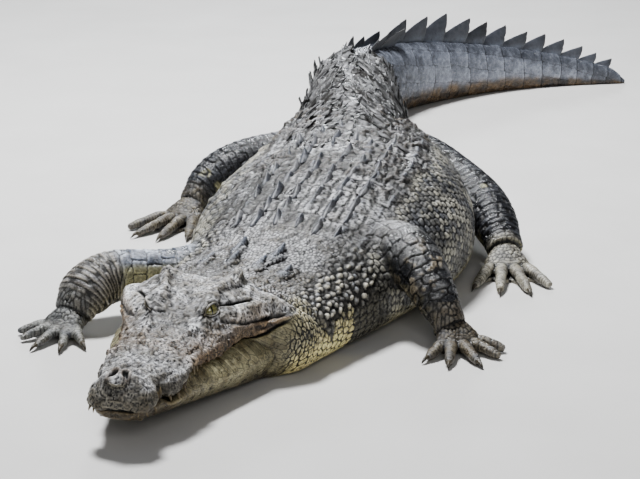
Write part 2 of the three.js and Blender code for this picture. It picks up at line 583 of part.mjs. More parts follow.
// origin: middle of the plan outline, on the floor
const outline = new THREE.Box3().setFromObject(group);
const ORIGIN = [(outline.min.x + outline.max.x) / 2, (outline.min.y + outline.max.y) / 2];
for (const mesh of group.children) mesh.geometry.translate(-ORIGIN[0], -ORIGIN[1], 0);

export default group;
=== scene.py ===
"""Saltwater crocodile at rest, life size: one continuous hide with its scales, armour and
folds as real geometry, and separate crest flaps, teeth, claws and eyes."""
import math
import bpy
import numpy as np
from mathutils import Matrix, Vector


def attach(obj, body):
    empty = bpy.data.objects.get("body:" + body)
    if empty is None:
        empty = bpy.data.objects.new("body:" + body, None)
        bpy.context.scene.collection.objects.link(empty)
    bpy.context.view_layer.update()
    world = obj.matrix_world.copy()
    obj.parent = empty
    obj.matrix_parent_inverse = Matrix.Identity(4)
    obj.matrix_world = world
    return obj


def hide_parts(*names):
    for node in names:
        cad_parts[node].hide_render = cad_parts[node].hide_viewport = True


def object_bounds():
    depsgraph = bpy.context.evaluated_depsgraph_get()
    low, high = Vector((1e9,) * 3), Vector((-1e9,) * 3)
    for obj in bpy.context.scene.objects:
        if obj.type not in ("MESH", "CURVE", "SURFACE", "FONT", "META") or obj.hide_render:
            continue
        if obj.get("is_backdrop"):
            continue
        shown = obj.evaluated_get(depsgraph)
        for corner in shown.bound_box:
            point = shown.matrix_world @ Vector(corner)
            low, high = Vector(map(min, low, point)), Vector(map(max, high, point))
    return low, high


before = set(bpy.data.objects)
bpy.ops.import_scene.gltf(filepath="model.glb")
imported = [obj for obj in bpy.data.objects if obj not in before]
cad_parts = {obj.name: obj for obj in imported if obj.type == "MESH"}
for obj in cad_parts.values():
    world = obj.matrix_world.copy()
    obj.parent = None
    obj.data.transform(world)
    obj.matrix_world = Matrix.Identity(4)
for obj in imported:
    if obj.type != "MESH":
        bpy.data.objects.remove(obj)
CAD_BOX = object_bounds()

# ------------------------------------------------------------------ driving sizes (mm)
ORIGIN = np.array([81.746, 2015.656, 0.0])   # where the model's origin sits on the sizing plan
HEAD_LENGTH, HEAD_WIDTH_SCALE = 600.0, 1.08
HEAD_YAW, HEAD_PITCH, HEAD_HINGE = 0.9, 6.6, (9.0, 600.0)
VOXEL = 0.0033
SCUTE = 66.0
WHORL_LENGTHS = [[2000, 84], [3000, 92], [3300, 100], [3466, 105], [3700, 103], [3850, 86], [4050, 82], [4200, 72], [4350, 58], [4460, 50]]
WHORL_AT = 3672.0                            # one ring of tail scales begins here
SPINE = [[0, 0], [12, 300], [30, 600], [76, 800], [110, 950], [130, 1130], [142, 1380],
         [108, 1650], [45, 1900], [-25, 2200], [-85, 2450], [-155, 2730], [-218, 3020],
         [-208, 3250], [-98, 3490], [80, 3720], [340, 3915], [640, 4035]]
BODY = [
    [480, 130, 130, 75, 2.2, 2.6], [530, 176, 165, 82, 2.2, 3.0], [580, 222, 186, 85, 2.2, 3.2],
    [640, 254, 195, 85, 2.1, 3.4], [740, 260, 205, 88, 2.1, 3.4],
    [860, 268, 230, 92, 2.0, 3.4], [1000, 296, 270, 102, 2.0, 3.4], [1130, 329, 305, 115, 2.0, 3.4],
    [1270, 359, 335, 125, 2.0, 3.4], [1410, 366, 352, 130, 2.0, 3.4], [1560, 345, 358, 135, 2.05, 3.2],
    [1720, 305, 355, 140, 2.1, 3.2], [1900, 258, 342, 140, 2.2, 3.0], [2080, 218, 325, 140, 2.3, 2.8],
    [2280, 186, 312, 140, 2.4, 2.6], [2500, 168, 302, 135, 2.5, 2.5], [2800, 152, 290, 130, 2.7, 2.4],
    [3080, 128, 272, 125, 2.8, 2.4], [3340, 98, 250, 118, 2.8, 2.3], [3600, 70, 222, 108, 2.6, 2.2],
    [3860, 50, 182, 88, 2.4, 2.1], [4120, 34, 132, 62, 2.2, 2.0], [4310, 21, 86, 40, 2.0, 2.0],
    [4395, 14, 58, 28, 2.0, 2.0], [4448, 4, 13, 7, 2.0, 2.0]]
CREST = [[2110, 12], [2500, 18], [2800, 24], [3000, 32], [3180, 44], [3330, 66], [3450, 92], [3600, 100],
         [3800, 84], [4000, 64], [4200, 46], [4330, 28], [4400, 15], [4448, 5]]
CREST_DOUBLE_TO = 3330.0
UPPER = [
    [0.000, .085, .020, .085, .034, .072, .030, .052], [0.015, .130, .048, .126, .074, .098, .070, .044],
    [0.050, .172, .050, .172, .108, .108, .102, .048], [0.090, .168, .062, .158, .116, .108, .110, .056],
    [0.150, .152, .064, .146, .098, .116, .088, .080], [0.180, .154, .068, .148, .098, .118, .086, .086],
    [0.214, .160, .076, .152, .120, .116, .112, .064], [0.260, .172, .086, .162, .144, .124, .136, .070],
    [0.320, .188, .092, .178, .154, .140, .146, .096], [0.350, .196, .093, .186, .154, .152, .147, .120],
    [0.385, .204, .094, .195, .154, .168, .147, .142], [0.450, .214, .094, .207, .157, .168, .148, .138],
    [0.550, .228, .094, .230, .172, .174, .160, .134], [0.630, .248, .096, .262, .194, .186, .180, .142],
    [0.700, .286, .098, .320, .216, .206, .198, .162], [0.760, .304, .106, .350, .235, .222, .214, .173],
    [0.820, .328, .116, .354, .258, .236, .236, .176], [0.900, .352, .128, .367, .286, .250, .262, .178],
    [0.970, .366, .136, .384, .308, .250, .285, .178], [1.030, .348, .134, .360, .312, .240, .286, .170],
    [1.080, .310, .120, .318, .290, .220, .270, .165]]
LOWER = [
    [0.020, .058, .046, .056, .030, .030, .014, .012], [0.050, .090, .046, .084, .028, .050, .008, .006],
    [0.090, .098, .054, .096, .028, .056, .004, .002], [0.150, .094, .078, .106, .036, .070, .000, .000],
    [0.180, .094, .084, .116, .038, .078, .000, .000], [0.214, .104, .062, .128, .038, .088, .000, .000],
    [0.260, .124, .068, .144, .040, .100, .000, .000], [0.320, .134, .094, .158, .046, .116, .000, .000],
    [0.350, .136, .118, .166, .050, .124, .000, .000], [0.385, .137, .140, .174, .054, .132, .000, .000],
    [0.450, .140, .136, .194, .060, .150, .000, .000], [0.550, .152, .132, .224, .068, .174, .000, .000],
    [0.630, .170, .140, .248, .074, .196, .000, .000], [0.700, .188, .160, .270, .080, .214, .000, .000],
    [0.760, .204, .171, .288, .086, .230, .000, .000], [0.820, .226, .174, .304, .092, .244, .000, .000],
    [0.900, .250, .176, .320, .100, .258, .000, .000], [0.970, .272, .176, .330, .104, .268, .000, .000],
    [1.030, .276, .168, .334, .104, .272, .000, .000], [1.080, .262, .160, .318, .104, .262, .000, .000]]
UPPER_TEETH = [[.040, .5], [.090, .7], [.225, .9], [.262, 1.2], [.305, .8], [.350, .9], [.392, 1.7], [.425, 1.3], [.465, .9], [.505, .7]]
LOWER_TEETH = [[.145, .9], [.172, 1.4], [.330, .5], [.470, .5]]
EYE = dict(t=.716, out=.102, up=.284, r=24.0)
LEGS = {
    "fore_left": dict(path=[[240, 1150, 128], [338, 1088, 168], [425, 1005, 182], [492, 935, 140], [560, 880, 55]],
        radii=[[92, 86], [90, 84], [76, 76], [58, 56], [40, 38]],
        hand=dict(at=(562, 885), heading=38, spread=(-58, -30, -3, 24, 48), len=(80, 112, 120, 108, 84), back=34, web=False)),
    "fore_right": dict(path=[[-60, 1030, 110], [-210, 930, 108], [-335, 850, 112], [-366, 800, 90], [-384, 750, 48]],
        radii=[[84, 80], [66, 68], [64, 64], [70, 60], [50, 42]],
        hand=dict(at=(-386, 745), heading=-16, spread=(52, 27, 3, -24, -50), len=(80, 108, 116, 104, 84), back=32, web=False)),
    "hind_left": dict(path=[[110, 2040, 150], [244, 1955, 150], [392, 1820, 142], [504, 1688, 110], [570, 1566, 54]],
        radii=[[118, 122], [110, 110], [84, 86], [64, 66], [50, 44]],
        hand=dict(at=(573, 1555), heading=15, spread=(-22, -6, 10, 26), len=(150, 178, 182, 150), back=44, web=True)),
    "hind_right": dict(path=[[-60, 2050, 140], [-190, 2020, 138], [-312, 1935, 134], [-380, 1865, 98], [-412, 1805, 50]],
        radii=[[112, 118], [92, 96], [70, 76], [58, 60], [44, 42]],
        hand=dict(at=(-412, 1795), heading=-14, spread=(24, 6, -10, -26), len=(146, 176, 182, 150), back=42, web=True)),
}
NUCHAL = [[742, 38, 28], [742, -38, 28], [806, 54, 34], [806, -54, 34], [742, 108, 22], [742, -108, 22]]

# ------------------------------------------------------------------ numbers
def smooth(a, b, x):
    t = np.clip((x - a) / (b - a), 0.0, 1.0)
    return t * t * (3.0 - 2.0 * t)


def monotone(xs, ys):
    xs, ys = np.asarray(xs, float), np.asarray(ys, float)
    h, n = np.diff(xs), len(xs)
    d = np.diff(ys) / h
    m = np.zeros(n)
    for i in range(1, n - 1):
        if d[i - 1] * d[i] > 0:
            w1, w2 = 2 * h[i] + h[i - 1], h[i] + 2 * h[i - 1]
            m[i] = (w1 + w2) / (w1 / d[i - 1] + w2 / d[i])
    m[0], m[-1] = d[0], d[-1]

    def f(x):
        x = np.clip(np.asarray(x, float), xs[0], xs[-1])
        i = np.clip(np.searchsorted(xs, x, side="right") - 1, 0, n - 2)
        t = (x - xs[i]) / h[i]
        t2, t3 = t * t, t * t * t
        return ((2 * t3 - 3 * t2 + 1) * ys[i] + (t3 - 2 * t2 + t) * h[i] * m[i]
                + (-2 * t3 + 3 * t2) * ys[i + 1] + (t3 - t2) * h[i] * m[i + 1])
    return f


def columns(table):
    a = np.array(table, float)
    return [monotone(a[:, 0], a[:, k]) for k in range(1, a.shape[1])]


class Path:
    """natural cubic spline resampled by arc length"""
    def __init__(self, points, samples=1600):
        p = np.array(points, float)
        n = len(p)
        u = np.r_[0, np.cumsum(np.linalg.norm(np.diff(p, axis=0), axis=1))]
        A, R = np.eye(n), np.zeros_like(p)
        for i in range(1, n - 1):
            h0, h1 = u[i] - u[i - 1], u[i + 1] - u[i]
            A[i, i - 1], A[i, i], A[i, i + 1] = h0, 2 * (h0 + h1), h1
            R[i] = 6 * ((p[i + 1] - p[i]) / h1 - (p[i] - p[i - 1]) / h0)
        M = np.linalg.solve(A, R)
        x = np.linspace(0, u[-1], samples + 1)
        i = np.clip(np.searchsorted(u, x, side="right") - 1, 0, n - 2)
        h = (u[i + 1] - u[i])[:, None]
        a, b = (u[i + 1] - x)[:, None] / h, (x - u[i])[:, None] / h
        line = a * p[i] + b * p[i + 1] + ((a ** 3 - a) * M[i] + (b ** 3 - b) * M[i + 1]) * h * h / 6
        s = np.r_[0, np.cumsum(np.linalg.norm(np.diff(line, axis=0), axis=1))]
        self.total, self.line, self.s = s[-1], line, s

    def point(self, s):
        s = np.asarray(s, float)
        c = np.clip(s, 0, self.total)
        q = np.stack([np.interp(c, self.s, self.line[:, k]) for k in range(self.line.shape[1])], -1)
        e = (s - c)[..., None]
        t = np.where(e > 0, self.line[-1] - self.line[-2], self.line[1] - self.line[0])
        t = t / np.linalg.norm(t, axis=-1, keepdims=True)
        return q + t * e

    def tangent(self, s, d=12.0):
        t = self.point(np.asarray(s, float) + d) - self.point(np.asarray(s, float) - d)
        return t / np.linalg.norm(t, axis=-1, keepdims=True)

    def nearest(self, P, lo, hi, step=5.0):
        """distance along the path of the point nearest to each row of P"""
        s = np.arange(lo, hi + step, step)
        q = self.point(s)
        coarse = slice(0, None, 8)
        qc = q[coarse].astype(np.float32)
        best = np.empty(len(P), int)
        for a in range(0, len(P), 60000):
            b = P[a:a + 60000].astype(np.float32)
            best[a:a + 60000] = (((b[:, None, :] - qc[None]) ** 2).sum(-1)).argmin(1) * 8
        out, dist = best.copy(), np.full(len(P), 1e18)
        for k in range(-9, 10):
            j = np.clip(best + k, 0, len(s) - 1)
            d = ((P - q[j]) ** 2).sum(-1)
            m = d < dist
            out[m], dist[m] = j[m], d[m]
        t = self.tangent(s[out], 6.0)
        return s[out] + ((P - q[out]) * t).sum(-1)


def hash01(i, j, seed):
    with np.errstate(over="ignore"):
        n = (i.astype(np.int64).astype(np.uint32) * np.uint32(374761393)
             + j.astype(np.int64).astype(np.uint32) * np.uint32(668265263)
             + np.uint32((seed * 974634777) & 0xffffffff))
        n = (n ^ (n >> np.uint32(13))) * np.uint32(1274126177)
        n = n ^ (n >> np.uint32(16))
    return (n.astype(np.float32) / np.float32(4294967296.0))


def cells(u, v, jitter=.35, stagger=.5, seed=1, power=2.0):
    """cell pattern: edge (0 on a border, about 1 mid cell), random number, place within the cell"""
    u, v = u.astype(np.float32), v.astype(np.float32)
    i0 = np.floor(u)
    best = np.full(u.shape, 1e9, np.float32)
    second = best.copy()
    rnd, lu, lv = np.zeros_like(u), np.zeros_like(u), np.zeros_like(u)
    for di in (-1, 0, 1):
        i = i0 + di
        vs = v + stagger * np.mod(i, 2)
        j0 = np.floor(vs)
        for dj in (-1, 0, 1):
            j = j0 + dj
            r = hash01(i, j, seed)
            du = u - (i + .5 + jitter * (r - .5))
            dv = vs - (j + .5 + jitter * (hash01(i, j, seed + 7) - .5))
            if power == 2.0:
                d = np.sqrt(du * du + dv * dv)
            else:
                d = (np.abs(du) ** power + np.abs(dv) ** power) ** (1 / power)
            m = d < best
            second = np.where(m, best, np.minimum(second, d))
            best = np.where(m, d, best)
            rnd, lu, lv = np.where(m, r, rnd), np.where(m, du, lu), np.where(m, dv, lv)
    return np.clip(second - best, 0, 1), rnd, lu, lv


def noise3(P, size, seed=0):
    """smooth value noise, -1 to 1"""
    q = P / size
    i = np.floor(q)
    f = (q - i).astype(np.float32)
    f = f * f * (3 - 2 * f)
    out = np.zeros(len(P), np.float32)
    for a in (0, 1):
        wa = f[:, 0] if a else 1 - f[:, 0]
        for b in (0, 1):
            wb = wa * (f[:, 1] if b else 1 - f[:, 1])
            for c in (0, 1):
                w = wb * (f[:, 2] if c else 1 - f[:, 2])
                out += w * hash01(i[:, 0] + a + 57 * (i[:, 2] + c), i[:, 1] + b, seed)
    return out * 2 - 1


def fbm(P, size, seed=0, octaves=3):
    return sum(noise3(P, size / 2 ** k, seed + 11 * k) / 2 ** k for k in range(octaves)) / 1.6


# ------------------------------------------------------------------ shape of the body
spine = Path(SPINE)
station = columns(BODY)
crest_height = monotone([r[0] for r in CREST], [r[1] for r in CREST])
_ws = np.arange(2000.0, 4461.0, 2.0)
_wu = np.r_[0, np.cumsum(2.0 / np.interp(_ws[:-1] + 1, *np.array(WHORL_LENGTHS, float).T))]
_wu -= np.interp(WHORL_AT, _ws, _wu)


def whorl(s):
    """counts the rings of tail scales along the spine; whole numbers are the grooves"""
    return np.interp(s, _ws, _wu)


def whorl_start(k):
    return np.interp(k, _wu, _ws)



def body_surface(s, a):
    w, top, wide, above, below = [f(s) for f in station]
    c, n = np.cos(a), np.sin(a)
    e = np.where(c > 0, 2 / above, 2 / below)
    x = w * np.sign(n) * np.abs(n) ** e
    z = np.where(c > 0, wide + (top - wide) * np.abs(c) ** e, wide - (wide + 14) * np.abs(c) ** e)
    return x, z


def on_body(s, out, z):
    p, t = spine.point(s), spine.tangent(s)
    return np.stack([p[..., 0] + t[..., 1] * out, p[..., 1] - t[..., 0] * out, z + 0 * p[..., 0]], -1)


def back_height(s, out):
    w, top, wide, above, _ = [f(s) for f in station]
    return wide + (top - wide) * np.clip(1 - np.abs(out / w) ** above, 0, 1) ** (1 / above)


# girth: distance round the surface from the middle of the back, tabulated by station and angle
G_S = np.linspace(480, 4448, 220)
G_A = np.linspace(0, math.pi, 121)
_x, _z = body_surface(G_S[:, None], G_A[None, :] + 0 * G_S[:, None])
_z = np.maximum(_z, 0)
GIRTH = np.concatenate([np.zeros((len(G_S), 1)), np.cumsum(np.hypot(np.diff(_x, axis=1), np.diff(_z, axis=1)), 1)], 1)


def girth(s, a):
    fs = np.clip((s - G_S[0]) / (G_S[1] - G_S[0]), 0, len(G_S) - 1.001)
    fa = np.clip(np.abs(a) / (G_A[1] - G_A[0]), 0, len(G_A) - 1.001)
    i, j = fs.astype(int), fa.astype(int)
    fs, fa = fs - i, fa - j
    return ((GIRTH[i, j] * (1 - fa) + GIRTH[i, j + 1] * fa) * (1 - fs)
            + (GIRTH[i + 1, j] * (1 - fa) + GIRTH[i + 1, j + 1] * fa) * fs)


# ------------------------------------------------------------------ shape of the head
upper_lines, lower_lines = columns(UPPER), columns(LOWER)
_c, _s = math.cos(math.radians(HEAD_PITCH)), math.sin(math.radians(HEAD_PITCH))
_fx, _fy = -math.sin(math.radians(HEAD_YAW)), -math.cos(math.radians(HEAD_YAW))


def head_point(t, out, up, clamp=True):
    ahead, side, high = (1 - t) * HEAD_LENGTH, out * HEAD_LENGTH * HEAD_WIDTH_SCALE, up * HEAD_LENGTH
    f, z = ahead * _c - high * _s, high * _c + ahead * _s
    return np.stack([HEAD_HINGE[0] + f * _fx - side * _fy, HEAD_HINGE[1] + f * _fy + side * _fx,
                     np.maximum(z, 0) if clamp else z], -1)


def head_vector(ahead, side, high):
    f, z = ahead * _c - high * _s, high * _c + ahead * _s
    v = np.array([f * _fx - side * _fy, f * _fy + side * _fx, z])
    return v / np.linalg.norm(v)


def head_local(P):
    rx, ry = P[:, 0] - HEAD_HINGE[0], P[:, 1] - HEAD_HINGE[1]
    f, side = rx * _fx + ry * _fy, -rx * _fy + ry * _fx
    ahead, high = f * _c + P[:, 2] * _s, -f * _s + P[:, 2] * _c
    return 1 - ahead / HEAD_LENGTH, side / (HEAD_LENGTH * HEAD_WIDTH_SCALE), high / HEAD_LENGTH


def outline(corners, count):
    """centripetal Catmull-Rom curve through the corners, evenly spaced"""
    p = np.array(corners, float)
    p = np.vstack([2 * p[0] - p[1], p, 2 * p[-1] - p[-2]])
    pts = []
    for k in range(1, len(p) - 2):
        p0, p1, p2, p3 = p[k - 1:k + 3]
        d0, d1, d2 = [max(np.linalg.norm(b - a) ** .5, 1e-4) for a, b in ((p0, p1), (p1, p2), (p2, p3))]
        m1 = ((p1 - p0) / d0 - (p2 - p0) / (d0 + d1) + (p2 - p1) / d1) * d1
        m2 = ((p2 - p1) / d1 - (p3 - p1) / (d1 + d2) + (p3 - p2) / d2) * d1
        t = np.linspace(0, 1, 24, endpoint=False)[:, None]
        pts.append((2 * t ** 3 - 3 * t ** 2 + 1) * p1 + (t ** 3 - 2 * t ** 2 + t) * m1
                   + (-2 * t ** 3 + 3 * t ** 2) * p2 + (t ** 3 - t ** 2) * m2)
    pts = np.vstack(pts + [p[-2:-1]])
    s = np.r_[0, np.cumsum(np.linalg.norm(np.diff(pts, axis=0), axis=1))]
    x = np.linspace(0, s[-1], count)
    q = np.stack([np.interp(x, s, pts[:, 0]), np.interp(x, s, pts[:, 1])], -1)
    q[:, 0] = np.maximum(q[:, 0], 0)
    return q


HALF = 34


def mouth_gap(t):
    """how far the lower jaw's edge stands below the upper lip"""
    return .018 * smooth(.105, .14, t) * (1 - smooth(.40, .50, t)) + .001


def upper_ring(t):
    mid, rx, ry, cx, cy, lx, ly = [float(f(t)) for f in upper_lines]
    half = outline([(0, mid), (rx * .55, mid + (ry - mid) * .25), (rx, ry), ((rx + cx) / 2, ry + (cy - ry) * .42),
                    (cx, cy), (lx, ly)], HALF)
    right = half[1:][::-1] * [-1, 1]
    roof = [(k * lx, ly + .004) for k in (.8, .4, 0, -.4, -.8)]
    ring = np.vstack([half, roof, right])
    return head_point(t, ring[:, 0], ring[:, 1])


def lower_ring(t):
    lx, ly, sx, sy, kx, ky, th = [float(f(t)) for f in lower_lines]
    top = ly - float(mouth_gap(t))
    half = outline([(lx, top), (lx + (sx - lx) * .7, top + (sy - top) * .45), (sx, sy), (sx + (kx - sx) * .6, sy + (ky - sy) * .8),
                    (kx, ky), (0, th)], HALF)
    right = half[:-1][::-1] * [-1, 1]
    bed = [(k * lx, top - .004) for k in (-.8, -.4, 0, .4, .8)]
    ring = np.vstack([half, right, bed])
    return head_point(t, ring[:, 0], ring[:, 1])


def core_ring(t):
    """closed inside of the mouth, so that nothing is seen through the gap"""
    lx = float(lower_lines[0](t)) * .80
    lo, hi = float(lower_lines[1](t)) - .045, float(upper_lines[6](t)) + .03
    ring = np.array([(lx, lo), (lx, hi), (0, hi), (-lx, hi), (-lx, lo), (0, lo)])
    return head_point(t, ring[:, 0], ring[:, 1])


# ------------------------------------------------------------------ meshes
class Shell:
    """closed surfaces gathered into one mesh"""
    def __init__(self):
        self.v, self.f, self.n = [], [], 0

    def loft(self, rings):
        R = np.array(rings, float)
        r, n, _ = R.shape
        i, j = np.meshgrid(np.arange(r - 1), np.arange(n), indexing="ij")
        a, b = i * n + j, i * n + (j + 1) % n
        quads = np.stack([a, b, b + n, a + n], -1).reshape(-1, 4)
        tris = np.vstack([quads[:, [0, 1, 2]], quads[:, [0, 2, 3]]])
        caps = []
        for row, flip in ((0, True), (r - 1, False)):
            m, k = r * n + len(caps), np.arange(n)
            t = np.stack([np.full(n, m), row * n + k, row * n + (k + 1) % n], -1)
            caps.append(t[:, [0, 2, 1]] if flip else t)
        v = np.vstack([R.reshape(-1, 3), R[0].mean(0), R[-1].mean(0)])
        self.v.append(v)
        self.f.append(np.vstack([tris] + caps) + self.n)
        self.n += len(v)

    def blob(self, centre, radii, axes=None, rows=16, cols=24):
        axes = np.eye(3) if axes is None else np.array(axes, float)
        a = np.linspace(.12, math.pi - .12, rows)[:, None]
        b = np.linspace(0, 2 * math.pi, cols, endpoint=False)[None, :]
        q = np.stack([np.sin(a) * np.cos(b) * radii[0], np.sin(a) * np.sin(b) * radii[1], np.cos(a) * radii[2] + 0 * b], -1)
        P = np.asarray(centre, float) + q @ axes
        P[..., 2] = np.maximum(P[..., 2], 0)
        self.loft(P)

    def arrays(self):
        return np.vstack(self.v), np.vstack(self.f)


def mesh_from(name, v, faces_flat, starts, totals):
    me = bpy.data.meshes.new(name)
    me.vertices.add(len(v))
    me.vertices.foreach_set("co", np.ascontiguousarray(v, np.float32).ravel())
    me.loops.add(len(faces_flat))
    me.loops.foreach_set("vertex_index", np.ascontiguousarray(faces_flat, np.int32))
    me.polygons.add(len(starts))
    me.polygons.foreach_set("loop_start", np.ascontiguousarray(starts, np.int32))
    me.polygons.foreach_set("loop_total", np.ascontiguousarray(totals, np.int32))
    me.update(calc_edges=True)
    me.validate()
    return me


def uniform_mesh(name, v_mm, faces):
    """v in plan millimetres, faces an (n, k) array"""
    n, k = faces.shape
    return mesh_from(name, (v_mm - ORIGIN) / 1000, faces.ravel(), np.arange(n) * k, np.full(n, k))


def link(name, me):
    ob = bpy.data.objects.new(name, me)
    bpy.context.scene.collection.objects.link(ob)
    return ob


# legs
class Leg:
    def __init__(self, spec):
        self.path = Path(spec["path"], 300)
        p = np.array(spec["path"], float)
        u = np.r_[0, np.cumsum(np.linalg.norm(np.diff(p, axis=0), axis=1))] / np.linalg.norm(np.diff(p, axis=0), axis=1).sum()
        self.side = monotone(u, [r[0] for r in spec["radii"]])
        self.high = monotone(u, [r[1] for r in spec["radii"]])
        self.hand = spec["hand"]

    def axes(self, s):
        T = self.path.tangent(np.clip(s, 13, self.path.total - 13))
        S = np.stack([-T[..., 1], T[..., 0], 0 * T[..., 0]], -1)
        S /= np.linalg.norm(S, axis=-1, keepdims=True)
        return T, S, np.cross(T, S)

    def rings(self, f0, f1, steps, count=40):
        out = []
        for f in np.linspace(f0, f1, steps):
            s = f * self.path.total
            p = self.path.point(s)
            _, S, U = self.axes(s)
            a = np.linspace(0, 2 * math.pi, count, endpoint=False)[:, None]
            # joints bulge a little, and the muscles swell between them
            r = 1 + .035 * math.sin(f * 9.0 + .6)
            q = p + S * self.side(f) * r * np.cos(a) + U * self.high(f) * r * np.sin(a)
            q[:, 2] = np.maximum(q[:, 2], 0)
            out.append(q)
        return out

    def local(self, P):
        s = self.path.nearest(P, -30, self.path.total + 40, 4.0)
        c = self.path.point(s)
        _, S, U = self.axes(s)
        d = P - c
        f = np.clip(s / self.path.total, 0, 1)
        x, y = (d * S).sum(-1), (d * U).sum(-1)
        rs, ru = self.side(f), self.high(f)
        rho = np.sqrt((x / rs) ** 2 + (y / ru) ** 2) + 1e-6
        R = np.hypot(x, y)
        return s, np.arctan2(y / ru, x / rs), R * (1 - 1 / rho), R / rho


def tube(points, radii, steps, count, pinch=None):
    p = Path(points, 120)
    pt = np.array(points, float)
    u = np.r_[0, np.cumsum(np.linalg.norm(np.diff(pt, axis=0), axis=1))]
    u /= u[-1]
    rs, ru = monotone(u, [r[0] for r in radii]), monotone(u, [r[1] for r in radii])
    out = []
    for f in np.linspace(0, 1, steps):
        s = f * p.total
        T = p.tangent(min(max(s, 2), p.total - 2), 2.0)
        S = np.array([-T[1], T[0], 0]); S /= np.linalg.norm(S)
        U = np.cross(T, S)
        a = np.linspace(0, 2 * math.pi, count, endpoint=False)[:, None]
        k = 1.0 if pinch is None else pinch(f)
        q = p.point(s) + S * float(rs(f)) * k * np.cos(a) + U * float(ru(f)) * k * np.sin(a)
        q[:, 2] = np.maximum(q[:, 2], 0)
        out.append(q)
    return out


def foot_plan(hand):
    """root, direction, length and radius of each digit, and the palm's own line"""
    x, y = hand["at"]
    h = math.radians(hand["heading"])
    dx, dy = math.sin(h), -math.cos(h)
    palm, wide = (74, 62) if hand["web"] else (60, 58)
    turn = -math.copysign(1, hand["spread"][0])
    digits = []
    n = len(hand["spread"])
    for i, a in enumerate(hand["spread"]):
        k = (i / (n - 1) - .5) * 2
        root = (x + dx * palm * .62 + math.cos(h) * k * wide * .62 * turn, y + dy * palm * .62 + math.sin(h) * k * wide * .62 * turn)
        ang = math.radians(hand["heading"] + a)
        digits.append((np.array(root), np.array([math.sin(ang), -math.cos(ang)]), hand["len"][i], 17.0 if hand["web"] else 16.0))
    line = [(x + dx * k, y + dy * k, z) for k, z in ((-hand["back"], 44), (0, 42), (palm * .6, 28), (palm * 1.15, 15))]
    return digits, line, palm, wide


def add_foot(shell, hand):
    digits, line, palm, wide = foot_plan(hand)
    shell.loft(tube(line, [(36, 36), (42, 36), (wide, 26), (wide * .86, 13)], 14, 30))
    for root, d, ln, r in digits:
        at = lambda k, z: (root[0] + d[0] * ln * k, root[1] + d[1] * ln * k, z)
        shell.loft(tube([at(-.15, r * .95), at(.3, r + 7), at(.68, r * .85 + 3.5), at(1, r * .62)],
                        [(r, r), (r * .95, r * .92), (r * .8, r * .78), (r * .55, r * .5)], 18, 18,
                        lambda f: 1 + .07 * math.cos(f * 2 * math.pi * 2.4)))
    reach = .62 if hand["web"] else .2
    for A, B in zip(digits[:-1], digits[1:]):
        pt = lambda D, k: D[0] + D[1] * D[2] * k
        mid = (pt(A, reach * .68) + pt(B, reach * .68)) / 2
        ring = [pt(A, 0), pt(A, reach), mid, pt(B, reach), pt(B, 0)]
        for z0, z1 in ((0.0, 10.0),):
            shell.loft([[(p[0], p[1], z) for p in ring] for z in (z0, z1)])


legs = {k: Leg(v) for k, v in LEGS.items()}

# ------------------------------------------------------------------ one closed hide
shell = Shell()
ss = np.concatenate([np.arange(480, 4440, 10.0), [4440, 4448]])
aa = np.linspace(0, 2 * math.pi, 120, endpoint=False)
X, Z = body_surface(ss[:, None], aa[None, :] + 0 * ss[:, None])
C, T = spine.point(ss), spine.tangent(ss)
rings = np.stack([C[:, None, 0] + T[:, None, 1] * X, C[:, None, 1] - T[:, None, 0] * X, np.maximum(Z, 0)], -1)
shell.loft(rings)
ts = np.unique(np.concatenate([np.linspace(0, .12, 16), np.linspace(.12, 1.08, 90)]))
shell.loft([upper_ring(t) for t in ts])
shell.loft([lower_ring(t) for t in ts[ts >= .02]])
shell.loft([core_ring(t) for t in np.linspace(.07, .60, 20)])
for leg in legs.values():
    shell.loft(leg.rings(0, 1, 44))
    add_foot(shell, leg.hand)
# raised nostril disc, and the thick bases of the neck spikes
shell.blob(head_point(.062, 0, .150), (30, 38, 15))
for s, out, h in NUCHAL:
    z = float(back_height(s + 30, out))
    c = on_body(s + 26, out, z - 6)
    t = spine.tangent(s + 26)
    ax = [[t[0], t[1], 0], [t[1], -t[0], 0], [0, 0, 1]]
    shell.blob(c, (34, 24, 16), ax)
    ring = []
    for k in range(8):
        f = k / 7
        cc = on_body(s + 14 + 44 * f, out * (1 + .03 * f), z - 8 + (.78 * h + 8) * f ** .9)
        L, W = 38 * (1 - f ** 1.2) + 5, 14 * (1 - f) ** 1.0 + 3.0
        a = np.linspace(0, 2 * math.pi, 16, endpoint=False)
        ring.append([cc + np.array([t[0], t[1], 0]) * L * math.cos(b) + np.array([t[1], -t[0], 0]) * W * math.sin(b) for b in a])
    shell.loft(ring)
V, F = shell.arrays()
skin_raw = link("skin_raw", uniform_mesh("skin_raw", V, F))
skin_raw.data.remesh_voxel_size = VOXEL
bpy.context.view_layer.objects.active = skin_raw
skin_raw.select_set(True)
bpy.ops.object.voxel_remesh()
me = skin_raw.data
n = len(me.vertices)
P = np.empty(n * 3, np.float32); me.vertices.foreach_get("co", P)
P = P.reshape(-1, 3).astype(float) * 1000 + ORIGIN
Q = np.empty(len(me.loops), np.int32); me.loops.foreach_get("vertex_index", Q)
tot = np.empty(len(me.polygons), np.int32); me.polygons.foreach_get("loop_total", tot)
print("remesh", n, len(tot), set(tot.tolist()))
assert set(tot.tolist()) == {4}
Q = Q.reshape(-1, 4)
bpy.data.objects.remove(skin_raw)

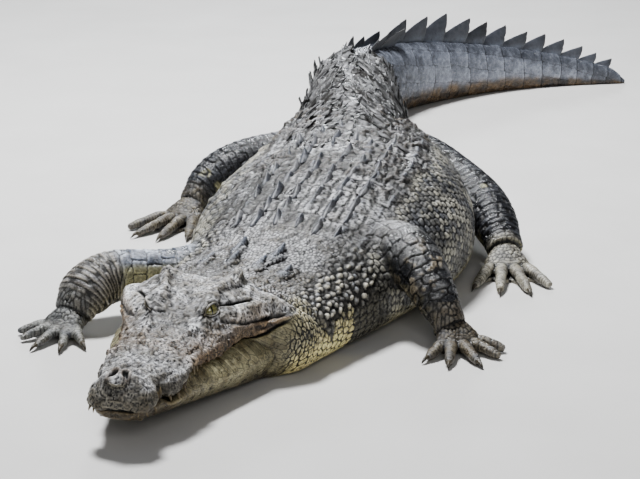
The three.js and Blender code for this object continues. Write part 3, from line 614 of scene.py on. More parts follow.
# ------------------------------------------------------------------ where every point lies
def locate(P):
    """body, head and leg coordinates of the points P (plan millimetres)"""
    L = {}
    s = spine.nearest(P[:, :2], 440, 4470)
    c, t = spine.point(s), spine.tangent(s)
    x = (P[:, 0] - c[:, 0]) * t[:, 1] - (P[:, 1] - c[:, 1]) * t[:, 0]
    w, top, wide, above, below = [f(s) for f in station]
    dz = P[:, 2] - wide
    ax = np.abs(x) / w
    az = np.where(dz > 0, dz / (top - wide), -dz / (wide + 14))
    e = np.where(dz > 0, above, below)
    rho = (ax ** e + az ** e) ** (1 / e) + 1e-6
    R = np.hypot(x, dz)
    a = np.arctan2(ax ** (e / 2), np.sign(dz) * az ** (e / 2))
    L["s"], L["side"], L["v"] = s, np.sign(x), girth(s, a)
    L["d_body"] = R * (1 - 1 / rho)
    L["t"], L["out"], L["up"] = head_local(P)
    return L


def edges_of(Q, n):
    e = np.vstack([Q[:, [0, 1]], Q[:, [1, 2]], Q[:, [2, 3]], Q[:, [3, 0]]]).astype(np.int64)
    e.sort(axis=1)
    k = np.unique(e[:, 0] * n + e[:, 1])
    return np.stack([k // n, k % n], 1)


def relax(P, E, w, rounds, factor=.5):
    keep = (w[E[:, 0]] > 0) | (w[E[:, 1]] > 0)
    a, b = E[keep].T
    n = len(P)
    deg = np.maximum(np.bincount(a, minlength=n) + np.bincount(b, minlength=n), 1)
    P = P.copy()
    for _ in range(rounds):
        acc = np.stack([np.bincount(a, P[b, k], n) + np.bincount(b, P[a, k], n) for k in range(3)], -1)
        P += (w * factor)[:, None] * (acc / deg[:, None] - P)
    return P


def refine(P, Q, flag):
    """splits the flagged quads in four; their neighbours take the new edge points as corners"""
    n = len(P)
    e = np.stack([Q, np.roll(Q, -1, axis=1)], -1).astype(np.int64)     # (f, 4, 2)
    key = np.minimum(e[..., 0], e[..., 1]) * n + np.maximum(e[..., 0], e[..., 1])
    split = np.unique(key[flag])
    mid = (P[split // n] + P[split % n]) / 2
    centre = P[Q[flag]].mean(1)
    k = np.searchsorted(split, key)
    k = np.clip(k, 0, len(split) - 1)
    has = split[k] == key
    em = k + n
    cm = n + len(split) + np.arange(int(flag.sum()))
    V = np.vstack([P, mid, centre])
    Qf, ef = Q[flag], em[flag]
    quads = np.concatenate([np.stack([Qf[:, j], ef[:, j], cm, ef[:, j - 1]], -1) for j in range(4)])
    rest = ~flag
    plain = rest & ~has.any(1)
    quads = np.vstack([quads, Q[plain]])
    odd = []
    for f in np.nonzero(rest & has.any(1))[0]:
        poly = []
        for j in range(4):
            poly.append(Q[f, j])
            if has[f, j]:
                poly.append(em[f, j])
        odd.append(poly)
    return V, quads, odd


L = locate(P)
E = edges_of(Q, n)
print("located")

# distance to each leg, and how far each point belongs to it
near_leg = {}
for name, leg in legs.items():
    mid = leg.path.point(leg.path.total * .5)
    reach = leg.path.total * .5 + 260
    idx = np.nonzero((np.hypot(P[:, 0] - mid[0], P[:, 1] - mid[1]) < reach))[0]
    s, phi, d, rad = leg.local(P[idx])
    near_leg[name] = (idx, s, phi, d, rad)

join = np.zeros(n)
for name, (idx, s, phi, d, rad) in near_leg.items():
    jd = np.abs(d) + np.abs(L["d_body"][idx])
    w = (1 - smooth(25, 75, jd)) * (1 - smooth(.80, .9, s / legs[name].path.total))
    join[idx] = np.maximum(join[idx], w)
rear = smooth(.96, 1.01, L["t"]) * (1 - smooth(1.10, 1.18, L["t"])) * (L["s"] < 760)
join = np.maximum(join, rear * .9)
P = relax(P, E, np.clip(join, 0, 1), 34)
P = relax(P, E, np.full(n, 1.0), 2)
P[:, 2] = np.maximum(P[:, 2], 0)

# finer faces on the head, to a little behind its rear
fc = P[Q].mean(1)
tf, of, uf = head_local(fc)
flag = (tf < 1.06) & (fc[:, 2] > 4) & (np.abs(of) < .43)
P, Q, ODD = refine(P, Q, flag)
n = len(P)
L = locate(P)
near_leg = {}
for name, leg in legs.items():
    mid = leg.path.point(leg.path.total * .5)
    idx = np.nonzero((np.hypot(P[:, 0] - mid[0], P[:, 1] - mid[1]) < leg.path.total * .5 + 260))[0]
    near_leg[name] = (idx,) + leg.local(P[idx])
print("refined", n, len(Q), len(ODD))

flat = np.concatenate([Q.ravel()] + [np.array(o) for o in ODD]) if ODD else Q.ravel()
totals = np.concatenate([np.full(len(Q), 4), np.array([len(o) for o in ODD], int)]) if ODD else np.full(len(Q), 4)
starts = np.r_[0, np.cumsum(totals)[:-1]]


def normals(P):
    """area-weighted vertex normals"""
    a, b = P[Q[:, 2]] - P[Q[:, 0]], P[Q[:, 3]] - P[Q[:, 1]]
    fn = np.cross(a, b)
    N = np.stack([sum(np.bincount(Q[:, j], fn[:, k], len(P)) for j in range(4)) for k in range(3)], -1)
    return N / (np.linalg.norm(N, axis=1, keepdims=True) + 1e-12)


# ------------------------------------------------------------------ scales, folds and colours
def srgb(r, g, b):
    c = np.array([r, g, b], float) / 255
    return np.where(c <= .04045, c / 12.92, ((c + .055) / 1.055) ** 2.4)


MUD, MUD_WET = srgb(176, 176, 178), srgb(128, 126, 122)
PIT, GROOVE = srgb(66, 62, 57), srgb(36, 32, 28)
KEEL, SLATE, SLATE_LIGHT = srgb(84, 88, 96), srgb(58, 60, 66), srgb(118, 122, 132)
CREAM, CREAM_GREY, OLIVE = srgb(176, 166, 122), srgb(165, 160, 138), srgb(122, 112, 76)
BROWN, TAN, LIP = srgb(96, 72, 46), srgb(136, 108, 72), srgb(138, 112, 86)


def mixc(a, b, w):
    return a + (b - a) * w[:, None]


def ridged(P, size, seed, octaves=2):
    """noise with sharp crests, -1 to 1"""
    return sum((1 - 2.6 * np.abs(noise3(P, size / 2 ** k, seed + 13 * k))) / 2 ** k for k in range(octaves)) / (2 - .5 ** (octaves - 1))


N = normals(P)
H = np.zeros(n)
COL = np.zeros((n, 3))
ROUGH = np.full(n, .6)
WSUM = np.zeros(n)

# belonging of each point: body, head, legs, feet
head_edge = np.interp(L["up"], [0, .088, .138, .195, .245, .272, .304, .335, .36, .42],
                      [.925, .895, .900, .925, .965, 1.0, .985, .97, 1.01, 1.02])
w_head = (1 - smooth(-.022, .022, L["t"] - head_edge + .010 * noise3(P, 24, 33))) * (P[:, 1] < 700) * (np.abs(L["out"]) < .45)
w_leg, w_foot = {}, {}
total_leg = np.zeros(n)
for name, (idx, s, phi, d, rad) in near_leg.items():
    leg = legs[name]
    h = math.radians(leg.hand["heading"])
    k = (P[idx, 0] - leg.hand["at"][0]) * math.sin(h) - (P[idx, 1] - leg.hand["at"][1]) * math.cos(h)
    foot = smooth(-26, 14, k) * (P[idx, 2] < 120) * (L["d_body"][idx] > -2)
    at = leg.hand["at"]
    foot = foot * (np.hypot(P[idx, 0] - at[0], P[idx, 1] - at[1]) < 275) * smooth(4, 16, L["d_body"][idx])
    db, dl = np.abs(L["d_body"][idx]), np.abs(d)
    w = np.exp(-dl / 9) / (np.exp(-dl / 9) + np.exp(-db / 9) + 1e-9)
    w = np.where(db > 45, 1.0, w) * (dl < 140)
    w = np.maximum(w * (1 - smooth(26, 44, dl)), foot * (dl < 400))
    wl = np.zeros(n); wf = np.zeros(n)
    wl[idx] = w * (1 - foot); wf[idx] = w * foot
    wl *= 1 - w_head; wf *= 1 - w_head
    w_leg[name], w_foot[name] = wl, wf
    total_leg += wl + wf
scale_down = np.maximum(total_leg, 1)
w_body = np.clip(1 - w_head - total_leg, 0, 1)

rough_noise = fbm(P, 26, 3, 3)
fine_noise = fbm(P, 7, 5, 2)
big_noise = fbm(P, 120, 9, 2)


def paint(idx, w, h, col, rough):
    H[idx] += w * h
    COL[idx] += w[:, None] * col
    ROUGH[idx] = ROUGH[idx] * (1 - w) + rough * w
    WSUM[idx] += w


# ---- body, neck and tail
idx = np.nonzero(w_body > .004)[0]
s, v, sd = L["s"][idx], L["v"][idx], L["side"][idx]
p, nz = P[idx], N[idx, 2]
rn, fn_, bn = rough_noise[idx], fine_noise[idx], big_noise[idx]
sv = v * sd
half = girth(s, np.full(len(s), math.pi))
wander = 12 * bn + 7 * rn
neck = 1 - smooth(915, 1000, s + 14 * rn)
tail = smooth(2030, 2150, s)
trunk = (1 - neck) * (1 - tail)
back = 1 - smooth(215, 262, v + wander)
rear_back = smooth(1500, 1850, s + 60 * bn)
h = np.zeros(len(idx)); dark = np.zeros(len(idx)); raised = np.zeros(len(idx)); keelw = np.zeros(len(idx))
jag = ridged(p * [1, .75, 1.0], 30, 81, 3)
lump = fbm(p, 38, 83, 3)

# back armour: rows of long keeled plates, half buried in mud
ws, wv = s + 8 * bn + 5 * rn, sv + 7 * fbm(p, 60, 85, 2)
e, r, lu, lv = cells((ws - 960) / SCUTE, wv / 58, .22, 0, 3, 3.0)
plate = smooth(.03, .26, e)
keel_h = (7 - 3 * rear_back) * (.45 + .95 * r) * (1 - .45 * smooth(120, 200, v) * (r < .6))
ramp = .30 + .70 * np.clip((lu + .46) / .76, 0, 1) ** 1.2
ramp = ramp * smooth(-.52, -.36, lu) * (1 - smooth(.34, .46, lu))
ridge = np.exp(-np.abs(lv * 58 / (6.0 + 4.5 * (1 - ramp))) ** 1.35)
hk = keel_h * ramp * ridge
buried = smooth(.10, .55, fbm(p, 95, 87, 2) + .22)
a = trunk * back
h += a * ((2.6 * plate - 1.2) * (1 - .5 * buried) + hk * (1 - .35 * buried) + 3.6 * lump + 1.5 * fn_ + 2.0 * jag)
h += a * rear_back * (6.0 * jag + 2.0 * ridged(p, 14, 101, 2))
dark += a * ((1 - plate) * .5 * (1 - .4 * buried) + (.35 + .65 * rear_back) * np.clip(-jag + .1, 0, 1) * .95)
keelw += a * np.clip(hk / 9, 0, 1) * (1 - .7 * rear_back)
raised += a * plate

# flanks: upright rows of small oval scales with scattered larger ones
fl = trunk * (1 - back)
low = smooth(half * .60, half * .70, v + wander)
e, rf, lu, lv = cells(s / 15.5 + .7 * bn, sv / 22, .32, .5, 5, 2.6)
pf = smooth(.06, .34, e)
e2, r2, lu2, lv2 = cells(s / 62 + .3, sv / 54, .75, .5, 8, 2.0)
knob = np.clip(1 - np.hypot(lu2 * 62, lv2 * 54) / 15, 0, 1) * (r2 > .35) * (1 - smooth(380, 470, v))
mid = fl * (1 - low)
h += mid * (2.6 * pf - 1.5 + 5.5 * knob ** .8 + .8 * rn)
dark += mid * (1 - pf)
raised += mid * np.clip(pf + knob, 0, 1)
# belly: square flat scales
e, r, lu, lv = cells(s / 31, sv / 27, .10, 0, 6, 5.0)
pb = smooth(.03, .20, e)
h += fl * low * (1.5 * pb - .8)
dark += fl * low * (1 - pb)

# neck: wrinkled granules above, small cones on the side, a net of oval scales below
up_n = 1 - smooth(150, 205, v + wander)
low_n = smooth(288, 330, v + wander)
mid_n = (1 - up_n) * (1 - low_n)
e, r, lu, lv = cells(s / 11, sv / 9.5, .85, .5, 12)
gran = smooth(.05, .50, e)
e3, r3, lu3, lv3 = cells(s / 34, sv / 34, .95, .5, 14)
knob3 = np.clip(1 - np.hypot(lu3 * 34 + 3, lv3 * 34) / 12, 0, 1) * (r3 > .5)
crease = ridged(np.stack([s * .35 + v * .55, v * .6 - s * .45, 0 * s], -1), 17, 89, 2)
h += neck * up_n * (1.9 * gran - 1.0 + 6 * knob3 + 2.0 * lump + 1.6 * crease)
dark += neck * up_n * ((1 - gran) * .55 + .5 * np.clip(-crease, 0, 1))
e, r, lu, lv = cells(s / 19.5 + .25 * rn, sv / 18.5 + .25 * fn_, .85, .5, 15)
r_cone = r.copy()
cone_r = np.hypot(lu * 1.05 + .06, lv * (.85 + .5 * r))
cones = np.clip(1 - cone_r / (.43 + .14 * r), 0, 1) * (.45 + .60 * r)
front_n = 1 - smooth(660, 740, s + 20 * rn)
e5, r5n, lu5, lv5 = cells(s / 12.5 + .3 * rn, sv / 17 + .3 * fn_, .75, .5, 16, 2.2)
net_f = smooth(.10, .38, e5)
wr = s + .22 * v
folds = np.sin(wr / 11.5 * 2 * math.pi + 2.6 * bn + 1.2 * rn)
hm = (1 - front_n) * (8.5 * cones ** .85 - 2.2) + front_n * (1.0 * folds + 2.6 * net_f - 1.2)
h += neck * mid_n * hm
tip_c = smooth(.18, .55, cones) * (1 - front_n) + front_n * np.clip(.25 + .65 * net_f + .15 * folds, 0, 1)
dark += neck * mid_n * ((1 - smooth(.10, .34, cones)) * (1 - front_n) * .9 + front_n * np.clip(1 - net_f + .2 * np.clip(-folds, 0, 1), 0, 1) * .9)
raised += neck * mid_n * tip_c
e, r4, lu, lv = cells(s / 24 + .15 * bn, sv / 18.5, .40, .5, 17, 2.6)
net = smooth(.07, .30, e)
h += neck * low_n * (2.8 * net - 1.8)
dark += neck * low_n * (1 - net) * 1.0
raised += neck * low_n * net
# the neck spikes stand out smooth and dark
spike = smooth(5, 15, L["d_body"][idx]) * neck * (v < 210)
h *= 1 - .8 * spike

# tail: rings of large smooth scales, shaggy mud and raised plates on top of the base
tu = whorl(s)
e, r5, lu, lv = cells(tu + .10 * fbm(p, 70, 103, 2), (sv + 9 * fbm(p, 50, 104, 2)) / np.clip(74 - (s - 2110) * .010, 44, 74), .16, 0, 19, 6.0)
lu_t = lu.copy()
ts_ = smooth(.010, .085, e)
ts_ = np.maximum(ts_, .72 * smooth(.34, .46, np.abs(lv)) * (1 - smooth(.38, .47, np.abs(lu))))
rear_lift = np.clip(lu + .45, 0, 1) ** 2
top_t = 1 - smooth(105, 150, v + wander)
base_t = 1 - smooth(2980, 3180, s + 30 * rn)
h += tail * (1.7 * ts_ - 1.2 + 2.0 * rear_lift * (1 - .6 * low) + .9 * rn)
e6, r6, lu6, lv6 = cells(tu * 1.5 + .25 * rn, (sv + 8 * bn) / 50, .55, .5, 23, 3.0)
leaf = np.clip((lu6 + .45) / .8, 0, 1) ** 1.6 * (1 - smooth(.32, .46, lu6)) * np.exp(-np.abs(lv6 / .26) ** 1.6)
h += tail * base_t * top_t * (6.0 * jag + 2.5 * ridged(p, 15, 101, 2) + 7 * leaf * (.5 + r6))
# dark grooves between the tail's scales, and painted shade in the crevices of the shaggy mud on the base
dark += tail * (1 - ts_) + tail * base_t * top_t * 1.2 * np.clip(-jag + .15, 0, 1)
e, r, lu, lv = cells(tu * 2.4, sv / 26, .25, .5, 21, 3.0)
pt_ = smooth(.04, .26, e)
h += tail * base_t * (1 - top_t) * (1.8 * pt_ - .9)
dark += tail * base_t * (1 - top_t) * (1 - pt_) * .6

# caked mud on what faces up
caked = smooth(.25, .75, nz) * (neck * .9 + trunk + tail * base_t * .9) * (1 - smooth(3000, 3250, s))
clod = np.clip(fbm(p, 46, 41, 3) * 1.5 - .05, 0, 1) * caked * (.35 + .65 * smooth(1400, 1750, s))
h += trunk * back * 4.0 * smooth(.04, .20, fbm(p, 58, 121, 3)) * smooth(1120, 1300, s) * (.6 + jag)
h += 7.0 * clod * (1 - spike) + caked * (.9 * rn + .45 * fn_)
# soft folds of hide before the thigh and behind the arm
for s0, amp in ((1180, 5.0), (1830, 5.0), (1900, 4.0)):
    h -= amp * trunk * np.exp(-((s - s0 + .25 * (v - 350)) / 17) ** 2) * smooth(240, 330, v) * (1 - smooth(560, 640, v))

dark = np.clip(dark, 0, 1)
hv = v / half
patch = np.clip(.42 + .9 * bn + .8 * rn, 0, 1)
c_back = mixc(mixc(MUD * .74 * np.ones((len(idx), 3)), MUD_WET * .34, smooth(.2, .75, patch + .3 * fn_)), PIT * .6, np.clip(dark * 1.0 + .7 * np.clip(-fn_ - .05, 0, 1) + .7 * np.clip(-rn, 0, 1) + .5 * np.clip(-jag, 0, 1), 0, .92))
c_back = c_back * (.77 - .34 * rear_back)[:, None]
clods = smooth(.04, .20, fbm(p, 58, 121, 3)) * smooth(1120, 1300, s)
c_back = mixc(c_back, srgb(46, 41, 36), clods * .62)
c_back = mixc(c_back, KEEL * .8, np.clip(keelw * 1.1, 0, .75) * smooth(-.2, .3, fn_ + .3))
c_back = mixc(c_back, srgb(88, 78, 64), np.clip(.55 * smooth(.1, .5, fbm(p, 30, 91, 2)) * (.3 + .7 * rear_back), 0, .5))
dab = smooth(-.10, .22, fbm(p * [1, 1, .6], 60, 93, 2) + .5 * (rf - .5))
c_flank = mixc(srgb(40, 43, 49) * np.ones((len(idx), 3)), srgb(142, 139, 127), np.clip((.12 + .62 * dab) * (.50 + .6 * pf) + .5 * knob + .5 * rn, 0, .95))
c_flank = mixc(c_flank, CREAM * .8, smooth(.52, .68, hv + .08 * bn) * .85)
c_flank = mixc(c_flank, GROOVE, dark * .9)
c_top = np.clip(smooth(.10, .62, nz) + .25 * rn, 0, 1)
c = mixc(c_flank, c_back, np.clip(back * .92 + .22 * c_top, 0, 1))
# neck colours
c_up = mixc(mixc(MUD * .61 * np.ones((len(idx), 3)), srgb(78, 74, 67), smooth(.2, .8, patch + .3 * fn_)), PIT * .5, np.clip(dark * 1.0 + .5 * np.clip(-fn_, 0, 1), 0, .95))
c_side = mixc(srgb(84, 82, 78) * np.ones((len(idx), 3)), mixc(srgb(112, 117, 126) * np.ones((len(idx), 3)), srgb(150, 146, 134), smooth(.35, .65, r_cone)), np.clip(raised * (.18 + .85 * r_cone + 1.0 * fn_), 0, 1))
c_side = mixc(c_side, GROOVE, np.clip(dark, 0, 1) * (.26 + .62 * front_n))
c_side = mixc(c_side, CREAM * .80, front_n * net_f * .45)
c_up = mixc(c_up, srgb(72, 64, 54), (1 - smooth(640, 760, s)) * smooth(-.3, .3, fn_ + .3 * crease) * .55)
c_neck = mixc(c_up, c_side, smooth(150, 210, v + wander))
blot = smooth(-.06, .10, fbm(p * [1.2, 1.2, .55], 62, 51, 2) + .34 - .60 * smooth(790, 890, s) * (1 - smooth(.60, .74, hv)))
low_col = mixc(CREAM * 1.0 * np.ones((len(idx), 3)), srgb(40, 41, 44), (1 - blot) * (1 - smooth(.64, .80, hv)) * .92)
low_col = mixc(low_col, GROOVE, dark * .95)
c_neck = mixc(c_neck, low_col, smooth(265, 325, v + wander))
c_neck = mixc(c_neck, srgb(74, 78, 86), spike * .85)
c = mixc(c, c_neck, neck)
lift_c = np.clip(lu_t + .5, 0, 1)
# tail colours: dark mud over the base, painted darker still as shadow under its ragged scutes, then wet slate above and
# tan below
tan = smooth(.56, .72, hv + .05 * bn + .05 * rn)
c_tail = mixc(srgb(100, 104, 115) * np.ones((len(idx), 3)), srgb(178, 184, 198), np.clip(.32 + .24 * rn + .32 * (r5 - .5) + .18 * fn_ + .42 * lift_c, 0, .9))
c_tail = mixc(c_tail, srgb(48, 50, 55), (1 - smooth(3100, 3700, s + 160 * bn)) * .52)
c_tan = mixc(srgb(32, 25, 16) * np.ones((len(idx), 3)), srgb(106, 82, 44), np.clip(.45 + 1.0 * rn + .6 * (r5 - .5), 0, 1))
c_tail = mixc(c_tail, srgb(46, 48, 53), (1 - smooth(30, 95, v + 14 * rn)) * smooth(3000, 3200, s) * .75)
c_tail = mixc(c_tail, c_tan, tan * .9)
c_tail = mixc(c_tail, GROOVE * .8, dark * (.50 + .3 * tan))
# painted shadow: the hide under the ragged scutes of the base is very dark mud, darkest in the crevices
c_root_mud_and_shadow = mixc(mixc(MUD * .26 * np.ones((len(idx), 3)), MUD_WET * .16, patch), GROOVE, np.clip(-jag * 1.9 + .25, 0, .92) * top_t)
c_tail = mixc(c_tail, c_root_mud_and_shadow, base_t * smooth(-.05, .35, nz + .35 * rn))
c = mixc(c, c_tail, tail)
rough = .36 + .20 * patch - .10 * keelw
rough = rough * (1 - tail) + tail * (.50 * base_t * c_top + (1 - base_t * c_top) * (.25 + .12 * np.clip(rn, 0, 1)))
rough = np.where(neck > .5, .44 - .08 * smooth(230, 330, v), rough)
rough = rough - .12 * trunk * (1 - back) * (1 - c_top) - .12 * spike
paint(idx, w_body[idx], h, c, rough)

# ---- legs
for name, (ix, s, phi, d, rad) in near_leg.items():
    leg = legs[name]
    w = w_leg[name][ix]
    m = w > .004
    ix, s, phi, rad, w = ix[m], s[m], phi[m], rad[m], w[m]
    p, nz, rn, bn, fn_ = P[ix], N[ix, 2], rough_noise[ix], big_noise[ix], fine_noise[ix]
    f = s / leg.path.total
    arc = (phi - math.pi / 2) * rad                      # zero along the top of the limb
    arc = np.where(arc < -math.pi * rad, arc + 2 * math.pi * rad, arc)
    hind, dome_arm = name.startswith("hind"), name == "fore_left"
    mm = np.arange(0, 760, 1.0)
    fm = mm / leg.path.total
    if hind:
        pitch = 29 - 8 * smooth(.35, .70, fm) - 8 * smooth(.78, .95, fm)
    elif dome_arm:
        pitch = 31 - 12 * smooth(.45, .90, fm)
    else:
        pitch = 38 - 26 * smooth(.56, .72, fm)
    uu = np.interp(s, mm, np.cumsum(1 / pitch)) + .12 * bn
    if hind:
        wc = 82 - 38 * smooth(60, 120, np.abs(arc))
    elif dome_arm:
        wc = 36 + 14 * smooth(.4, .8, f)
    else:
        wc = 46 + 80 * smooth(.58, .72, f) - 14 * smooth(60, 120, np.abs(arc)) * (1 - smooth(.58, .72, f))
    warp = 5 * rn + 4 * fbm(p, 55, 95, 2)
    e, r, lu, lv = cells(uu + warp / 60, (arc + warp) / wc, .16 if not dome_arm else .45, .37, 40 + len(name), 6.0 if not dome_arm else 2.6)
    thin = np.interp(s, mm, 24 / pitch)
    pl = smooth(.030, .150 * thin, e)
    lift = np.clip(lu + .5, 0, 1) ** 2
    h = 2.6 * pl - 1.8 + 2.0 * lift * pl + .6 * rn + .35 * fn_
    h -= 2.6 * np.exp(-((f - .94) / .03) ** 2)
    under = np.clip(-nz, -1, 1)
    inner = smooth(.18, .50, under + .40 * rn + .30 * bn + (.12 if hind else .22))
    if name == "fore_right":
        inner = np.maximum(inner * smooth(.57, .7, f), smooth(50, 74, -arc + 9 * rn) * (1 - smooth(.6, .7, f)) * .95)
    base = srgb(31, 32, 36) if hind else srgb(66, 71, 82)
    lightc = srgb(62, 64, 69) if hind else srgb(150, 156, 168)
    if dome_arm:
        base, lightc = srgb(34, 35, 38), srgb(84, 84, 84)
    # the upper side is painted lighter, a painted sheen, most on the forelegs; the rest of the tone differs at random
    tone = np.clip(.18 + (.02 if hind else .30) * smooth(.1, .9, nz) + .7 * rn + .55 * (r - .5) + .3 * fn_, 0, .95)
    c = mixc(base * np.ones((len(ix), 3)), lightc, smooth(0, 1, tone))
    c = c * (1 - .35 * smooth(.1, .5, fbm(p, 17, 107, 2)))[:, None]
    creamy = srgb(150, 146, 112)
    if hind:
        spots = smooth(.12, .35, fbm(p, 48, 97, 2) + .60 * under + .30 * (r - .5))
        c = mixc(c, creamy * .8, np.clip(np.maximum(inner * .8, spots * .7), 0, .85))
    elif name == "fore_right":
        fore = smooth(.60, .69, f)
        stripes = np.clip(lift * 1.25 - .05 + .5 * rn, 0, 1)
        c = mixc(c, creamy * .95, inner * .9)
        c = mixc(c, mixc(srgb(66, 62, 57) * np.ones((len(ix), 3)), srgb(142, 136, 125), stripes), fore * .85)
    else:
        c = mixc(c, srgb(112, 106, 84), inner * np.clip(.25 + .8 * rn, 0, .7))
        muddy = smooth(.10, .60, nz + .25 * rn) * (1 - smooth(.40, .56, f + .05 * bn))
        c = mixc(c, mixc(MUD * .85 * np.ones((len(ix), 3)), MUD_WET * .5, smooth(.1, .7, .4 + 1.2 * rn + .4 * fn_)), muddy * .60)
        splash = smooth(.15, .4, fbm(p, 22, 99, 2)) * smooth(.5, .7, f)
        c = mixc(c, srgb(128, 118, 100), splash * .55)
        h += 1.6 * splash + muddy * (.8 * fn_ + 1.0 * rn)
    c = mixc(c, GROOVE * .6, (1 - pl) * .95)
    rgh = .26 + .16 * np.clip(rn + .4, 0, 1) + .20 * (1 - pl)
    if dome_arm:
        rgh = rgh + .18 * muddy
    paint(ix, w, h, c, rgh)

# ---- feet
for name, (ix, s, phi, d, rad) in near_leg.items():
    leg = legs[name]
    w = w_foot[name][ix]
    m = w > .004
    ix, w = ix[m], w[m]
    p, nz, rn = P[ix], N[ix, 2], rough_noise[ix]
    digits, line, palm, wide = foot_plan(leg.hand)
    best, along, across = np.full(len(ix), 1e9), np.zeros(len(ix)), np.zeros(len(ix))
    for root, dd, ln, r in digits:
        rel = p[:, :2] - root
        al = rel @ dd
        ac = rel[:, 0] * dd[1] - rel[:, 1] * dd[0]
        q = np.abs(ac) + 1.5 * np.clip(-al, 0, None) + 1.5 * np.clip(al - ln, 0, None)
        m2 = q < best
        best, along, across = np.where(m2, q, best), np.where(m2, al, along), np.where(m2, ac, across)
    on_digit = smooth(5, 25, along)
    e, r, lu, lv = cells(along / 8.5, across / 60 + .5, .05, 0, 71, 5.0)
    pd = smooth(.03, .30, e)
    e, r, lu, lv = cells(along / 11 + 50, across / 12, .5, .5, 73)
    pg = smooth(.05, .4, e)
    h = on_digit * (1.8 * pd - 1.0) + (1 - on_digit) * (1.6 * pg - .9) + .5 * rn
    g = on_digit * (1 - pd) + (1 - on_digit) * (1 - pg)
    web = smooth(9, 15, best) * (p[:, 2] < 16)
    h = h * (1 - .6 * web)
    pale = srgb(146, 142, 130) if name == "hind_left" else (srgb(94, 88, 75) if name == "hind_right" else (srgb(92, 86, 74) if name == "fore_left" else srgb(104, 104, 100)))
    c = mixc(pale * np.ones((len(ix), 3)), SLATE, np.clip(.3 + .7 * rn + .3 * (r - .5), 0, .8))
    c = mixc(c, GROOVE, np.clip(g, 0, 1) * .75)
    c = mixc(c, srgb(70, 62, 50), smooth(.0, .35, fbm(p, 24, 131, 3)) * (.40 if name != "fore_left" else .7))
    h = h + 1.3 * fbm(p, 14, 133, 2)
    paint(ix, w, h, c, .44 + .2 * rn)

# ---- head and lower jaw
idx = np.nonzero(w_head > .004)[0]
p, nz = P[idx], N[idx, 2]
t, out, up = L["t"][idx], L["out"][idx], L["up"][idx]
ao = np.abs(out)
tc = np.clip(t, 0, 1.08)
ridge_o, ridge_h = upper_lines[1](tc), upper_lines[2](tc)
mouth = upper_lines[6](tc) + np.interp(t, [.80, .826, .853, .885, .910, .957, 1.0], [0, .002, .010, .034, .048, .060, .062])
furrow = np.interp(t, [.30, .50, .628, .690, .733, .792, .875, .925, .96, 1.0], [.20, .225, .242, .250, .240, .240, .238, .243, .250, .262])
gap = mouth_gap(tc)
dz = (up - mouth) * HEAD_LENGTH                       # above the lip, mm
fz = (up - furrow) * HEAD_LENGTH
X, Yt = ao * 648, t * HEAD_LENGTH
sx = out * 648
isup = smooth(-1.0, 3.0, dz)
rn, fn_, bn = rough_noise[idx], fine_noise[idx], big_noise[idx]
pn, qn = fbm(p, 15, 61, 3), fbm(p, 30, 63, 2)
h = np.zeros(len(idx)); dark = np.zeros(len(idx))
flat_up = smooth(.15, .60, nz)
topw = isup * flat_up
cheek = smooth(.70, .80, t) * smooth(.13, .20, ao)
# lumpy bone under the hide, dark knobs and pits over the snout, cracked skin on the sides
Yf = Yt - .85 * up * 600 * (1 - smooth(.05, .14, t))      # carries the pattern down the blunt front
e, r, lu, lv = cells(Yf / 15, sx / 14, .95, .5, 62)
knobs = np.clip(1 - np.hypot(lu, lv) / .42, 0, 1) * (r > .34)
e1, r1, lu1, lv1 = cells(Yf / 7.5, sx / 7.5, .95, .5, 64)
pores = np.clip(1 - np.hypot(lu1, lv1) / .34, 0, 1) * (r1 > .55)
snout = smooth(.10, .20, t) * (1 - smooth(.66, .76, t))
calm = 1 - .15 * cheek
h += isup * calm * (4.6 * pn + 4.4 * qn + 2.0 * ridged(p, 24, 67, 2)) + isup * snout * 2.8 * knobs ** .7
h -= isup * 1.5 * pores * calm
e2, r2, lu2, lv2 = cells(Yt / 15 + .4 * pn, (up * 600 + X * .6) / 11, .85, .5, 63)
crack = 1 - smooth(.03, .18, e2)
side_u = isup * (1 - smooth(.35, .75, nz)) * (1 - .5 * cheek)
crack = crack * (.04 + .80 * smooth(.16, .30, t))
h -= side_u * crack * 1.1
dark += isup * calm * (snout * knobs * .85 * (r > .5) + pores * .6 + .7 * np.clip(-pn - .05, 0, 1)) + side_u * crack * .32
# nostril disc and its two deep openings
disc = np.exp(-np.hypot((Yt - 36) / 30, X / 34) ** 4) * isup
h += 5.0 * disc * smooth(.3, .8, nz)
hole = np.zeros(len(idx)); rimn = np.zeros(len(idx))
for k in (1, -1):
    a_, b_ = Yt - 29, sx - k * 14.5
    slant = b_ + .28 * k * a_
    hole = np.maximum(hole, np.exp(-(np.abs(a_) / 9.5) ** 3 - (np.abs(slant) / 6.4) ** 3))
    rimn = np.maximum(rimn, np.exp(-((np.hypot(a_ * .80, slant) - 11.5) / 3.4) ** 2))
up_n = smooth(.12, .55, nz) * isup * (t < .13)
h += (3.2 * rimn * (.45 + .9 * smooth(26, 46, Yt)) - 13.0 * hole - 3.5 * np.exp(-((Yt - 6) / 12) ** 2 - (X / 30) ** 2)) * up_n
# painted shade inside the two openings
dark += 2.5 * hole * up_n
# swellings at the tooth roots along both lips
for tt, size in UPPER_TEETH + [[.55, .6], [.60, .5]]:
    g = np.exp(-((Yt - tt * 600) / (9 + 3 * size)) ** 2)
    h += isup * g * (3.6 + 1.8 * size) * np.exp(-((dz - 12) / 12) ** 2) * (t > .02)
for tt in np.arange(.16, .80, .045):
    g = np.exp(-((Yt - tt * 600) / 9) ** 2)
    h += (1 - isup) * g * 1.8 * np.exp(-((dz + 14 + gap * 600) / 11) ** 2)
